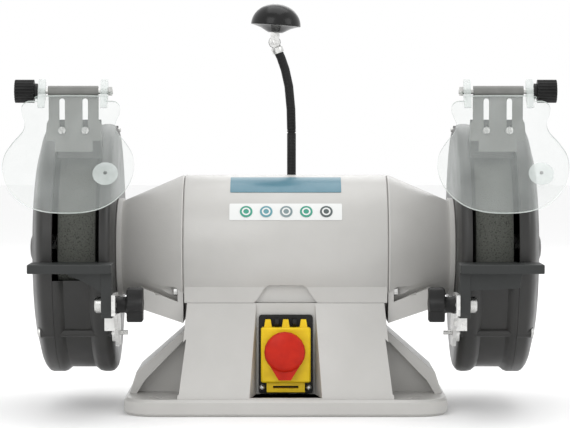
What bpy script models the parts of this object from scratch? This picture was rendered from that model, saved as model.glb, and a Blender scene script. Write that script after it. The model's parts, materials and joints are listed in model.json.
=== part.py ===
"""Double-ended bench grinder on a cast pedestal: two guarded wheels, eye shields, spark arresters,
tool rests, switch and work lamp. Metres, +Z up, +X right, -Y towards the person using it.
The origin is the centre of the underside. "side" is -1 for the left wheel and +1 for the right one."""

import bmesh
import bpy
from math import atan2, cos, pi, radians, sin, sqrt
from mathutils import Matrix, Vector

# Driving dimensions
WHEEL_RADIUS = 0.125
WHEEL_WIDTH = 0.040
WHEEL_CENTRE_X = 0.220
AXIS_HEIGHT = 0.173
BASE_WIDTH = 0.346
BASE_DEPTH = 0.240
BASE_THICK = 0.018
BASE_CORNER = 0.036
COLUMN_TOP_WIDTH = 0.212
COLUMN_TOP_DEPTH = 0.140
COLUMN_FOOT_WIDTH = 0.230
COLUMN_FOOT_DEPTH = 0.224
COLUMN_HEIGHT = 0.117
CAST_WALL = 0.006
COVER_THICK = 0.002
SLOT_X = 0.138
SLOT_Y = 0.095
SLOT_LENGTH = 0.0145
SLOT_WIDTH = 0.011
STRUT_DEPTH = 0.110
STRUT_WEB_DEPTH = 0.074
STRUT_THICK = 0.009
STRUT_TOP_Z = 0.090
MOTOR_RADIUS = 0.080
MOTOR_LENGTH = 0.220
MOTOR_WALL = 0.008
BELL_END_X = 0.184
BELL_END_RADIUS = 0.0515
BELL_WALL = 0.006
BEARING_RADIUS = 0.026
BEARING_WIDTH = 0.015
SHAFT_RADIUS = 0.0150
SHAFT_SEAT_RADIUS = 0.0125
CORE_RADIUS = 0.0448
KEEL_HALF_DEPTH = 0.066
KEEL_END_X = 0.156
EAR_THICK = 0.006
TIE_BOLT_Y = 0.062
TIE_BOLT_Z = 0.129
GUARD_RADIUS = 0.136
GUARD_BAND_RADIUS = 0.131
GUARD_WALL = 0.0035
COVER_SEAM_X = 0.2453
COVER_FACE_X = 0.269
DOME_X = 0.281
DOME_RADIUS = 0.043
MOUTH_LOW = -0.028
MOUTH_MARGIN = 0.0115
MOUTH_HIGH = 0.107
FLANGE_FRONT_Y = -0.092
FLANGE_THICK = 0.004
FLANGE_TOP = 0.141
ARRESTER_THICK = 0.0025
ARRESTER_LOW_X = 0.194
ARRESTER_WIDTH = 0.060
ARRESTER_SCREW_GAP = 0.0245
ARRESTER_SCREW_Z = 0.1295
ROD_Z = 0.344
ROD_Y = -0.0985
ROD_RADIUS = 0.003
SHIELD_CENTRE_X = 0.2265
SHIELD_TILT = radians(29)
SHIELD_THICK = 0.003
LUG_GAP = 0.058
LUG_WIDTH = 0.008
REST_Y = -0.1380
REST_DEPTH = 0.043
REST_LEFT_X = 0.180
REST_RIGHT_X = 0.2665
REST_THICK = 0.0095
REST_TOP = -0.008
REST_LEG = 0.011
REST_SLIDE = 0.012
REST_PIVOT_Z = -0.051
REST_PIVOT_Y = -0.157
BRACKET_THICK = 0.004
BRACKET_SCREW = 1
STUD_RADIUS = 0.004
KNOB_LOBES = 6
COVER_SCREW_RADIUS = 0.1305
COVER_SCREW_ANGLES = (radians(82), radians(220.6), radians(328))
SWITCH_WIDTH = 0.058
SWITCH_HEIGHT = 0.085
SWITCH_Z = 0.0622
BUTTON_RADIUS = 0.022
STOP_X = -0.001
STOP_Z = 0.0665
START_RADIUS = 0.0055
START_RISE = 0.0216
LAMP_Y = 0.068
NECK_X = 0.0065
NECK_BEND_Z = 0.300
NECK_RADIUS = 0.005
NECK_RELIEF = 0.0019
HEAD_X = -0.0125
HEAD_Z = 0.4005
SHADE_RADIUS = 0.028

# Clearances
GAP = 0.0003
WHEEL_GAP = 0.003
RECESS_GAP = 0.0035

# Finishes: colour, roughness, metallic
LIGHT_CAST = ((0.56, 0.55, 0.52), 0.42, 0.0)
DARK_PAINT = ((0.075, 0.075, 0.072), 0.38, 0.0)
BLACK_STEEL = ((0.03, 0.034, 0.032), 0.45, 0.2)
BRIGHT_STEEL = ((0.62, 0.62, 0.60), 0.28, 1.0)
GREY_PLATE = ((0.33, 0.33, 0.32), 0.42, 0.3)
GREY_STONE = ((0.13, 0.135, 0.12), 0.92, 0.0)
BLACK_PLASTIC = ((0.02, 0.02, 0.02), 0.42, 0.0)
YELLOW_PLASTIC = ((0.86, 0.66, 0.03), 0.36, 0.0)
RED_PLASTIC = ((0.60, 0.03, 0.01), 0.33, 0.0)
GREEN_PLASTIC = ((0.05, 0.42, 0.12), 0.35, 0.0)
CLEAR_PLASTIC = ((0.86, 0.90, 0.88), 0.06, 0.0)
COPPER = ((0.55, 0.25, 0.12), 0.35, 0.8)
OPAL_GLASS = ((0.9, 0.88, 0.8), 0.2, 0.0)

SIDES = (("left", -1), ("right", 1))
PLANES = {"X": (1, 2, 0), "Y": (0, 2, 1), "Z": (0, 1, 2)}


def clearScene():
    for obj in list(bpy.data.objects):
        bpy.data.objects.remove(obj, do_unlink=True)


def finishOf(name, finish):
    colour, roughness, metallic = finish
    material = bpy.data.materials.new(name)
    material.use_nodes = True
    shader = material.node_tree.nodes["Principled BSDF"]
    shader.inputs["Base Color"].default_value = (*colour, 1.0)
    shader.inputs["Roughness"].default_value = roughness
    shader.inputs["Metallic"].default_value = metallic
    material.diffuse_color = (*colour, 1.0)
    return material


def tidy(bm):
    bmesh.ops.remove_doubles(bm, verts=bm.verts, dist=1e-6)
    bmesh.ops.recalc_face_normals(bm, faces=bm.faces)
    return bm


def prism(outline, low, high, axis):
    """A flat outline, drawn in the plane across the axis, extruded from low to high along it."""
    first, second, along = PLANES[axis]
    bm = bmesh.new()
    verts = []
    for point in outline:
        place = [0.0, 0.0, 0.0]
        place[first], place[second], place[along] = point[0], point[1], low
        verts.append(bm.verts.new(place))
    face = bm.faces.new(verts)
    moved = bmesh.ops.extrude_face_region(bm, geom=[face])["geom"]
    shift = [0.0, 0.0, 0.0]
    shift[along] = high - low
    bmesh.ops.translate(bm, vec=shift, verts=[v for v in moved if isinstance(v, bmesh.types.BMVert)])
    return tidy(bm)


def box(low, high):
    low, high = [min(p) for p in zip(low, high)], [max(p) for p in zip(low, high)]
    return prism([(low[0], low[1]), (high[0], low[1]), (high[0], high[1]), (low[0], high[1])],
                 low[2], high[2], "Z")


def roundedRectangle(width, depth, radius, steps=6):
    outline = []
    for corner in range(4):
        cx = (width / 2 - radius) * (1 if corner in (0, 3) else -1)
        cy = (depth / 2 - radius) * (1 if corner in (0, 1) else -1)
        for i in range(steps + 1):
            a = (corner + i / steps) * pi / 2
            outline.append((cx + radius * cos(a), cy + radius * sin(a)))
    return outline


def shifted(outline, du, dv):
    return [(u + du, v + dv) for u, v in outline]


def turned(profile, axis="X", centre=(0, 0, 0), steps=32):
    """A profile of (place along the axis, radius), turned about the axis. It is closed into a ring
    unless both its ends lie on the axis."""
    first, second, along = PLANES[axis]
    bm = bmesh.new()
    verts = []
    for place, radius in profile:
        point = list(centre)
        point[along] += place
        point[second] += radius
        verts.append(bm.verts.new(point))
    solidEnds = profile[0][1] == 0 and profile[-1][1] == 0
    count = len(verts) - (1 if solidEnds else 0)
    edges = [bm.edges.new((verts[i], verts[(i + 1) % len(verts)])) for i in range(count)]
    direction = [0.0, 0.0, 0.0]
    direction[along] = 1.0
    bmesh.ops.spin(bm, geom=verts + edges, cent=centre, axis=direction, dvec=(0, 0, 0),
                   angle=2 * pi, steps=steps, use_merge=True)
    return tidy(bm)


def rod(low, high, radius, axis="X", centre=(0, 0, 0), steps=16):
    return turned([(low, 0), (low, radius), (high, radius), (high, 0)], axis, centre, steps)


def softened(bm, width, angle=radians(50), segments=1):
    """Bevels the edges that are sharper than the angle."""
    edges = [e for e in bm.edges if e.is_manifold and e.calc_face_angle(0) > angle]
    bmesh.ops.bevel(bm, geom=edges, offset=width, segments=segments, profile=0.5,
                    affect="EDGES", clamp_overlap=True)
    return bm


def addObject(name, bm, pivot=None, helper=False):
    """An object from a mesh in world coordinates. With a pivot, an empty, its origin is there."""
    mesh = bpy.data.meshes.new(name)
    if pivot:
        bmesh.ops.translate(bm, vec=-pivot.location, verts=bm.verts)
    bm.to_mesh(mesh)
    bm.free()
    obj = bpy.data.objects.new(name, mesh)
    bpy.context.scene.collection.objects.link(obj)
    obj.parent = pivot
    if helper:
        obj.hide_render = True
        obj.display_type = "WIRE"
    else:
        mesh.shade_smooth()
        mesh.set_sharp_from_angle(angle=radians(40))
    return obj


def piece(name, bm, finish, pivot=None):
    obj = addObject(name, bm, pivot)
    obj.data.materials.append(finishOf(name, finish))
    return obj


def combine(obj, bm, operation):
    """Joins, cuts or keeps the part in common with a helper solid given in world coordinates."""
    helper = addObject(f"{obj.name}_{operation.lower()}_{len(obj.modifiers)}", bm, helper=True)
    modifier = obj.modifiers.new(helper.name, "BOOLEAN")
    modifier.solver = "EXACT"
    modifier.operation = operation
    modifier.object = helper
    return helper


def cut(obj, bm):
    return combine(obj, bm, "DIFFERENCE")


def join(obj, bm):
    return combine(obj, bm, "UNION")


def quickSolver(obj):
    """For turned shapes whose flats meet a cutter at a shallow angle, where EXACT leaves open edges."""
    for modifier in obj.modifiers:
        modifier.solver = "MANIFOLD"


def pivotAt(name, place):
    empty = bpy.data.objects.new(name, None)
    empty.empty_display_size = 0.02
    empty.location = place
    bpy.context.scene.collection.objects.link(empty)
    return empty


def columnSolid(inset, low, high):
    """The column's tapered block between two heights, with its sides set in by the inset."""
    bm = bmesh.new()
    corners = []
    for z in (low, high):
        t = (z - BASE_THICK) / (COLUMN_HEIGHT - BASE_THICK)
        halfX = (COLUMN_FOOT_WIDTH + (COLUMN_TOP_WIDTH - COLUMN_FOOT_WIDTH) * t) / 2 - inset
        halfY = (COLUMN_FOOT_DEPTH + (COLUMN_TOP_DEPTH - COLUMN_FOOT_DEPTH) * t) / 2 - inset
        corners.append([bm.verts.new((x * halfX, y * halfY, z)) for x, y in
                        ((-1, -1), (1, -1), (1, 1), (-1, 1))])
    lower, upper = corners
    bm.faces.new(reversed(lower))
    bm.faces.new(upper)
    for i in range(4):
        bm.faces.new((lower[i], lower[(i + 1) % 4], upper[(i + 1) % 4], upper[i]))
    return tidy(bm)


def strutOutline(side, inset=0.0):
    """Side view of a strut from the front: a slope from the column, then a steep foot."""
    columnX = COLUMN_TOP_WIDTH / 2 - CAST_WALL / 2
    footX = BASE_WIDTH / 2 - 0.003 - inset
    kneeX = BASE_WIDTH / 2 - 0.0115 - inset
    kneeZ = 0.041 - inset
    low = BASE_THICK - 0.004
    return [(side * columnX, low), (side * footX, low), (side * kneeX, kneeZ),
            (side * columnX, STRUT_TOP_Z + 0.002 - inset)]


def switchRecess(backY, spread, low):
    halfBack = SWITCH_WIDTH / 2 + RECESS_GAP - 0.001 + spread
    halfFront = halfBack + 0.0075
    frontY = -COLUMN_FOOT_DEPTH / 2 - 0.002
    return prism([(-halfFront, frontY), (halfFront, frontY), (halfBack, backY), (-halfBack, backY)],
                 low, COLUMN_HEIGHT + 0.002, "Z")


def makePedestal():
    recessBackY = -COLUMN_TOP_DEPTH / 2
    outline = roundedRectangle(BASE_WIDTH, BASE_DEPTH, BASE_CORNER, 5)
    base = softened(prism(outline, 0, BASE_THICK, "Z"), 0.003)
    pedestal = piece("pedestal", base, LIGHT_CAST)
    join(pedestal, columnSolid(0, BASE_THICK - 0.003, COLUMN_HEIGHT))
    for _, side in SIDES:
        join(pedestal, prism(strutOutline(side), -STRUT_DEPTH / 2, STRUT_DEPTH / 2, "Y"))
    for _, side in SIDES:
        for lower, upper in ((-STRUT_DEPTH, -STRUT_WEB_DEPTH / 2), (STRUT_WEB_DEPTH / 2, STRUT_DEPTH)):
            pocket = strutOutline(side, STRUT_THICK)
            pocket[0] = (side * (COLUMN_FOOT_WIDTH / 2 - 0.001), BASE_THICK)
            pocket[1] = (pocket[1][0], BASE_THICK)
            pocket[3] = (side * (COLUMN_TOP_WIDTH / 2 + 0.0005), pocket[3][1] - 0.0035)
            cut(pedestal, prism(pocket, lower, upper, "Y"))
        hollow = [(side * 0.126, -0.001), (side * 0.152, -0.001), (side * 0.146, 0.030),
                  (side * 0.126, 0.050)]
        half = STRUT_WEB_DEPTH / 2 - CAST_WALL
        cut(pedestal, prism(hollow, -half, half, "Y"))
    cut(pedestal, columnSolid(CAST_WALL, BASE_THICK, COLUMN_HEIGHT + 0.002))
    halfX, halfY = COLUMN_FOOT_WIDTH / 2 - CAST_WALL, COLUMN_FOOT_DEPTH / 2 - CAST_WALL
    cut(pedestal, box((-halfX, -halfY, -0.001), (halfX, halfY, BASE_THICK + 0.001)))
    pocket = columnSolid(0.0002, BASE_THICK - 0.0002, COLUMN_HEIGHT)
    walls = join(pedestal, pocket)
    combine(walls, switchRecess(recessBackY + CAST_WALL, CAST_WALL, 0), "INTERSECT")
    cut(pedestal, switchRecess(recessBackY, 0, BASE_THICK + 0.001))
    cut(pedestal, box((-0.022, recessBackY - 0.01, SWITCH_Z - 0.034),
                      (0.022, recessBackY + 0.02, SWITCH_Z + 0.034)))
    cut(pedestal, rod(-0.13, 0.13, MOTOR_RADIUS + GAP, "X", (0, 0, AXIS_HEIGHT), 36))
    ledge = roundedRectangle(COLUMN_FOOT_WIDTH, COLUMN_FOOT_DEPTH - 0.006, 0.006, 2)
    cut(pedestal, prism(ledge, -0.001, COVER_THICK + GAP, "Z"))
    for x in (-SLOT_X, SLOT_X):
        for y in (-SLOT_Y, SLOT_Y):
            slot = roundedRectangle(SLOT_LENGTH, SLOT_WIDTH, SLOT_WIDTH / 2 - 0.0001, 4)
            cut(pedestal, prism(shifted(slot, x, y), -0.001, BASE_THICK + 0.001, "Z"))
    cut(pedestal, rod(0.05, 0.12, 0.008, "Y", (0, 0, 0.060), 20))


def makeBaseCover():
    outline = roundedRectangle(COLUMN_FOOT_WIDTH - 2 * GAP, COLUMN_FOOT_DEPTH - 0.006 - 2 * GAP, 0.006, 2)
    piece("base_cover", prism(outline, 0, COVER_THICK, "Z"), BRIGHT_STEEL)


def makeCableGland():
    gland = turned([(0.100, 0.0045), (0.100, 0.0076), (0.1130, 0.0076), (0.1130, 0.0125),
                    (0.1200, 0.0125), (0.1220, 0.0105), (0.1310, 0.0105), (0.1340, 0.0080),
                    (0.1340, 0.0045)], "Y", (0, 0, 0.060), 8)
    piece("cable_gland", gland, BLACK_PLASTIC)


def makeMotor():
    halfLength = MOTOR_LENGTH / 2
    inner = MOTOR_RADIUS - MOTOR_WALL
    footTop = AXIS_HEIGHT - 0.037
    ring = turned([(-halfLength, inner), (-halfLength, MOTOR_RADIUS - 0.0015),
                   (-halfLength + 0.0015, MOTOR_RADIUS), (halfLength - 0.0015, MOTOR_RADIUS),
                   (halfLength, MOTOR_RADIUS - 0.0015), (halfLength, inner)],
                  "X", (0, 0, AXIS_HEIGHT), 36)
    housing = piece("motor_housing", ring, LIGHT_CAST)
    halfDepth = COLUMN_TOP_DEPTH / 2
    join(housing, box((-halfLength + 0.001, -halfDepth, COLUMN_HEIGHT + GAP),
                      (halfLength - 0.001, halfDepth, footTop)))
    cut(housing, rod(-0.13, 0.13, inner, "X", (0, 0, AXIS_HEIGHT), 36))
    scoop = [(-0.035, COLUMN_HEIGHT - 0.001), (0.035, COLUMN_HEIGHT - 0.001), (0.030, 0.122),
             (0.0225, 0.1335), (0.018, 0.1365), (-0.018, 0.1365), (-0.0225, 0.1335), (-0.030, 0.122)]
    cut(housing, prism(scoop, -halfDepth - 0.001, -halfDepth + 0.010, "Y"))
    cut(housing, rod(AXIS_HEIGHT - 0.09, AXIS_HEIGHT - 0.06, 0.008, "Z", (0, 0, 0), 16))
    for y in (-TIE_BOLT_Y, TIE_BOLT_Y):
        for _, side in SIDES:
            cut(housing, rod(side * (halfLength - 0.010), side * (halfLength + 0.001), 0.0028, "X",
                             (0, y, TIE_BOLT_Z), 8))
    stator = turned([(-0.062, 0.046), (-0.062, 0.066), (-0.036, 0.066), (-0.036, inner - GAP),
                     (0.036, inner - GAP), (0.036, 0.066), (0.062, 0.066), (0.062, 0.046)],
                    "X", (0, 0, AXIS_HEIGHT), 20)
    piece("stator", stator, COPPER)


def keelOutline(side):
    """Front view of an end bell's keel: a rising wedge below the cone, with an ear for the bolts."""
    start = MOTOR_LENGTH / 2 + GAP
    ear = start + EAR_THICK
    low, high = 0.095, 0.118
    rise = 0.0155
    points = [(start, low), (KEEL_END_X, low + rise), (KEEL_END_X, high + rise), (ear, high),
              (ear, TIE_BOLT_Z + 0.008), (start, TIE_BOLT_Z + 0.008)]
    return [(side * x, z) for x, z in points]


def makeEndBell(name, side):
    start = MOTOR_LENGTH / 2 + GAP
    end = BELL_END_X
    ringStart = end - 0.006
    seat = BEARING_RADIUS + GAP
    seatStart = end - 0.003 - BEARING_WIDTH - GAP
    inner = MOTOR_RADIUS - MOTOR_WALL
    innerEnd = BELL_END_RADIUS - BELL_WALL
    outer = [(start, MOTOR_RADIUS - 0.0015), (start + 0.0015, MOTOR_RADIUS),
             (ringStart, BELL_END_RADIUS), (ringStart, BELL_END_RADIUS + 0.003),
             (end - 0.001, BELL_END_RADIUS + 0.003), (end, BELL_END_RADIUS + 0.002)]
    hub = [(end, SHAFT_SEAT_RADIUS + 0.004), (end - 0.003, SHAFT_SEAT_RADIUS + 0.004),
           (end - 0.003, seat), (seatStart, seat), (seatStart, seat + CAST_WALL)]
    inside = [(end - 0.013, seat + CAST_WALL), (end - 0.013, innerEnd), (start, inner)]
    bm = turned([(side * x, r) for x, r in outer + hub + inside], "X", (0, 0, AXIS_HEIGHT), 36)
    bell = piece(f"end_bell_{name}", bm, LIGHT_CAST)
    join(bell, prism(keelOutline(side), -KEEL_HALF_DEPTH, KEEL_HALF_DEPTH, "Y"))
    cavity = [(start - 0.001, 0), (start - 0.001, inner), (end - 0.013, innerEnd), (end - 0.013, 0)]
    cut(bell, turned([(side * x, r) for x, r in cavity], "X", (0, 0, AXIS_HEIGHT), 36))
    for y in (-TIE_BOLT_Y, TIE_BOLT_Y):
        place = (0, y, TIE_BOLT_Z)
        cut(bell, rod(side * (start - 0.001), side * (start + 0.03), 0.0028, "X", place, 8))
        cut(bell, rod(side * (start + EAR_THICK), side * (start + 0.03), 0.0052, "X", place, 16))
    quickSolver(bell)


def makeTieBolt(name, side, y):
    face = MOTOR_LENGTH / 2 + GAP + EAR_THICK + GAP
    profile = [(face - 0.014, 0), (face - 0.014, 0.0024), (face, 0.0024), (face, 0.0046),
               (face + 0.004, 0.0046), (face + 0.0048, 0.0038), (face + 0.0048, 0)]
    bolt = turned([(side * x, r) for x, r in profile], "X", (0, y, TIE_BOLT_Z), 8)
    piece(name, bolt, BRIGHT_STEEL)


def makeBearing(name, side):
    outer = BELL_END_X - 0.003 - GAP
    inner = outer - BEARING_WIDTH + GAP
    small, large = SHAFT_SEAT_RADIUS + GAP, BEARING_RADIUS
    middle = (small + large) / 2
    profile = [(outer, small), (outer, middle - 0.002), (outer - 0.001, middle - 0.002),
               (outer - 0.001, middle + 0.002), (outer, middle + 0.002), (outer, large),
               (inner, large), (inner, small)]
    ring = turned([(side * x, r) for x, r in profile], "X", (0, 0, AXIS_HEIGHT), 20)
    piece(f"bearing_{name}", ring, BRIGHT_STEEL)


def makeRotor(pivot):
    """The shaft with the motor's core, and what it carries at both ends."""
    axis = (0, 0, AXIS_HEIGHT)
    thread = 0.0098
    shoulder = BELL_END_X - 0.003 - BEARING_WIDTH - 0.001
    seatEnd = WHEEL_CENTRE_X - WHEEL_WIDTH / 2 - 0.012
    tip = 0.272
    half = [(0, SHAFT_RADIUS), (shoulder, SHAFT_RADIUS), (shoulder, SHAFT_SEAT_RADIUS),
            (seatEnd, SHAFT_SEAT_RADIUS), (seatEnd, thread), (tip - 0.001, thread),
            (tip, thread - 0.001), (tip, 0)]
    profile = [(-x, r) for x, r in reversed(half)] + half[1:]
    piece("shaft", turned(profile, "X", axis, 20), BRIGHT_STEEL, pivot)
    core = turned([(-0.036, SHAFT_RADIUS + GAP), (-0.046, SHAFT_RADIUS + 0.010), (-0.046, 0.040),
                   (-0.036, CORE_RADIUS), (0.036, CORE_RADIUS), (0.046, 0.040), (0.046, SHAFT_RADIUS + 0.010),
                   (0.036, SHAFT_RADIUS + GAP)], "X", axis, 20)
    piece("rotor_core", core, BRIGHT_STEEL, pivot)
    for name, side in SIDES:
        inner = WHEEL_CENTRE_X - WHEEL_WIDTH / 2
        outer = WHEEL_CENTRE_X + WHEEL_WIDTH / 2
        bore = thread + GAP
        dish = 0.045
        wheel = [(inner, bore), (inner, WHEEL_RADIUS - 0.0012), (inner + 0.0012, WHEEL_RADIUS),
                 (outer - 0.0012, WHEEL_RADIUS), (outer, WHEEL_RADIUS - 0.0012), (outer, bore)]
        piece(f"wheel_{name}", turned([(side * x, r) for x, r in wheel], "X", axis, 36), GREY_STONE,
              pivot)
        flange = [(inner - GAP, bore), (inner - GAP, dish), (inner - 0.004, dish),
                  (inner - 0.006, 0.022), (seatEnd + GAP, 0.017), (seatEnd + GAP, bore)]
        piece(f"inner_flange_{name}", turned([(side * x, r) for x, r in flange], "X", axis, 20),
              DARK_PAINT, pivot)
        flange = [(outer + GAP, bore), (outer + GAP, dish), (outer + 0.004, dish),
                  (outer + 0.008, 0.022), (outer + 0.010, 0.022), (outer + 0.010, bore)]
        piece(f"outer_flange_{name}", turned([(side * x, r) for x, r in flange], "X", axis, 20),
              DARK_PAINT, pivot)
        low, high = outer + 0.010 + GAP, outer + 0.024
        hexagon = [(0.0165 * cos(i * pi / 3), AXIS_HEIGHT + 0.0165 * sin(i * pi / 3))
                   for i in range(6)]
        nut = piece(f"wheel_nut_{name}", prism(hexagon, side * low, side * high, "X"),
                    BRIGHT_STEEL, pivot)
        cut(nut, rod(side * (low - 0.001), side * (high + 0.001), bore, "X", axis, 20))


def aboutAxis(points):
    """Side-view points measured from the wheel axis, as (Y, Z) in world coordinates."""
    return [(y, AXIS_HEIGHT + z) for y, z in points]


def makeGuard(name, side):
    axis = (0, 0, AXIS_HEIGHT)
    wall = BELL_END_X + GAP
    seam = COVER_SEAM_X - GAP
    band = GUARD_BAND_RADIUS
    hub = SHAFT_SEAT_RADIUS + 0.0075
    outer = [(wall, GUARD_RADIUS - 0.006), (wall + 0.004, GUARD_RADIUS - 0.001),
             (wall + 0.008, GUARD_RADIUS), (wall + 0.018, GUARD_RADIUS - 0.001),
             (wall + 0.023, band), (seam - 0.011, band), (seam - 0.006, GUARD_RADIUS - 0.001),
             (seam, GUARD_RADIUS)]
    inner = [(seam, band - GUARD_WALL), (wall + GUARD_WALL, band - GUARD_WALL),
             (wall + GUARD_WALL, hub), (wall, hub)]
    profile = [(side * x, r) for x, r in outer + inner]
    guard = piece(f"guard_body_{name}", turned(profile, "X", axis, 36), DARK_PAINT)
    mouthStart = wall + 0.0115
    cut(guard, box((side * mouthStart, -0.15, AXIS_HEIGHT + MOUTH_LOW),
                   (side * (seam + 0.01), -0.055, AXIS_HEIGHT + MOUTH_HIGH)))
    lugLow, lugHigh = ARRESTER_LOW_X + 0.002, ARRESTER_LOW_X + ARRESTER_WIDTH - 0.012
    lug = [(FLANGE_FRONT_Y, 0.100), (FLANGE_FRONT_Y, FLANGE_TOP),
           (FLANGE_FRONT_Y + FLANGE_THICK, FLANGE_TOP), (-0.0585, 0.1145), (-0.0735, 0.1060),
           (FLANGE_FRONT_Y + FLANGE_THICK, 0.100)]
    join(guard, prism(aboutAxis(lug), side * lugLow, side * lugHigh, "X"))
    for offset in (-1, 1):
        x = arresterMiddle(side) + offset * ARRESTER_SCREW_GAP / 2
        cut(guard, rod(FLANGE_FRONT_Y - 0.001, FLANGE_FRONT_Y + 0.011, 0.0023, "Y",
                       (x, 0, AXIS_HEIGHT + ARRESTER_SCREW_Z), 8))
    for y, z in screwPlaces():
        join(guard, rod(side * (wall + 0.001), side * (seam - 0.0001), 0.0046, "X", (0, y, z), 8))
        cut(guard, rod(side * (wall - 0.001), side * (seam + 0.001), 0.0028, "X", (0, y, z), 8))


def screwPlaces():
    """Where the three through bolts of a guard run, between the wheel and the guard's rim."""
    return [(COVER_SCREW_RADIUS * cos(a), AXIS_HEIGHT + COVER_SCREW_RADIUS * sin(a))
            for a in COVER_SCREW_ANGLES]


def arresterMiddle(side):
    return side * (ARRESTER_LOW_X + ARRESTER_WIDTH / 2 + 0.001)


def makeCover(name, side):
    axis = (0, 0, AXIS_HEIGHT)
    seam, face, dome = COVER_SEAM_X, COVER_FACE_X, DOME_X
    wall = 0.003
    outer = [(seam, GUARD_RADIUS), (seam + 0.009, GUARD_RADIUS), (seam + 0.0135, GUARD_RADIUS - 0.003),
             (seam + 0.0175, GUARD_RADIUS - 0.010), (face - 0.003, GUARD_RADIUS - 0.023),
             (face, GUARD_RADIUS - 0.036), (face, DOME_RADIUS), (face + 0.0045, DOME_RADIUS - 0.018),
             (face + 0.009, DOME_RADIUS - 0.0265), (dome - 0.0008, 0.010), (dome, 0)]
    inner = [(dome - wall, 0), (dome - wall - 0.001, 0.0105), (face - wall + 0.0045, 0.024),
             (face - wall, 0.040), (face - wall, GUARD_RADIUS - 0.037),
             (face - wall - 0.0035, GUARD_RADIUS - 0.026), (seam + 0.013, GUARD_RADIUS - 0.013),
             (seam + 0.008, GUARD_BAND_RADIUS - GUARD_WALL), (seam, GUARD_BAND_RADIUS - GUARD_WALL)]
    profile = [(side * x, r) for x, r in outer[::-1] + inner[::-1]]
    cover = piece(f"guard_cover_{name}", turned(profile, "X", axis, 36), DARK_PAINT)
    bossEnd = seam + 0.0150
    for y, z in screwPlaces():
        join(cover, rod(side * (seam + GAP), side * bossEnd, 0.0058, "X", (0, y, z), 8))
        cut(cover, rod(side * (seam - 0.001), side * (bossEnd + 0.02), 0.0028, "X", (0, y, z), 8))
        cut(cover, rod(side * bossEnd, side * (bossEnd + 0.02), 0.0054, "X", (0, y, z), 16))
    quickSolver(cover)
    for i, (y, z) in enumerate(screwPlaces()):
        head = bossEnd + GAP
        tip = REST_LEFT_X - BRACKET_THICK - 0.0085 if i == BRACKET_SCREW else BELL_END_X - 0.0015
        screw = [(tip, 0), (tip, 0.0024), (head, 0.0024), (head, 0.0048),
                 (head + 0.0022, 0.0042), (head + 0.0034, 0.0025), (head + 0.0034, 0)]
        piece(f"guard_bolt_{name}_{i + 1}",
              turned([(side * x, r) for x, r in screw], "X", (0, y, z), 8), BRIGHT_STEEL)


def makeRestBracket(name, side):
    """A zinc plate bolted to the guard's inner wall, with a slotted ear for the rest's stud."""
    high = REST_LEFT_X - GAP
    low = high - BRACKET_THICK
    y, z = REST_PIVOT_Y, AXIS_HEIGHT + REST_PIVOT_Z
    backY, backZ = screwPlaces()[BRACKET_SCREW]
    frontY = y - REST_SLIDE - 0.0115
    plate = [(backY - 0.014, backZ - 0.0135), (backY + 0.0115, backZ - 0.0135),
             (backY + 0.0115, backZ + 0.012), (y + 0.022, z + 0.0115), (frontY, z + 0.0115),
             (frontY, z - 0.010), (y + 0.010, z - 0.0125)]
    bracket = piece(f"rest_bracket_{name}", prism(plate, side * low, side * high, "X"), BRIGHT_STEEL)
    join(bracket, rod(side * (high - 0.001), side * BELL_END_X, 0.0095, "X",
                      (0, backY, backZ), 20))
    slot = shifted(roundedRectangle(REST_SLIDE + 0.0092, 0.0092, 0.0045, 4), y - REST_SLIDE / 2, z)
    cut(bracket, prism(slot, side * (low - 0.001), side * (high + 0.001), "X"))
    cut(bracket, rod(side * (low - 0.001), side * (BELL_END_X + 0.001), 0.0034, "X",
                     (0, backY, backZ), 16))
    join(bracket, box((side * (high - 0.001), -0.133, backZ + 0.0045),
                      (side * (high + 0.0105), -0.130, backZ + 0.0185)))


def makeToolRest(name, side, pivot):
    """The plate in front of the wheel with the leg that carries it. The left one is gusseted by a
    curved web and the right one by a straight apron."""
    y, z = REST_PIVOT_Y, AXIS_HEIGHT + REST_PIVOT_Z
    top = AXIS_HEIGHT + REST_TOP
    frontY = REST_Y - REST_DEPTH
    start = REST_LEFT_X
    plate = softened(box((side * start, frontY, top - REST_THICK), (side * REST_RIGHT_X, REST_Y, top)),
                     0.0008)
    rest = piece(f"tool_rest_{name}", plate, BLACK_STEEL, pivot)
    tongueLow = BELL_END_X + GAP + MOUTH_MARGIN + 0.0025
    tongueHigh = COVER_SEAM_X - 0.0025
    join(rest, box((side * tongueLow, REST_Y - 0.005, top - REST_THICK + 0.001),
                   (side * tongueHigh, -WHEEL_RADIUS - WHEEL_GAP, top - 0.0002)))
    leg = [(y - 0.013, top - 0.001), (y - 0.0135, z - 0.008), (y - 0.008, z - 0.0135),
           (y + 0.008, z - 0.0135), (y + 0.0135, z - 0.008), (y + 0.0165, top - 0.001)]
    join(rest, prism(leg, side * start, side * (start + REST_LEG), "X"))
    if side < 0:
        web = [(start + 0.001, top - 0.002), (start + 0.052, top - 0.002), (start + 0.044, top - 0.0125),
               (start + 0.033, top - 0.0165), (start + 0.022, top - 0.022),
               (start + 0.012, top - 0.029), (start + 0.001, top - 0.036)]
    else:
        web = [(start + 0.001, top - 0.002), (start + 0.0665, top - 0.002),
               (start + 0.062, top - 0.025), (start + 0.001, top - 0.028)]
    webFront = y - 0.012
    join(rest, prism([(side * u, v) for u, v in web], webFront, webFront + 0.006, "Y"))
    cut(rest, rod(side * (start - 0.001), side * (start + REST_LEG + 0.001), 0.0045, "X", (0, y, z), 16))


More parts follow.
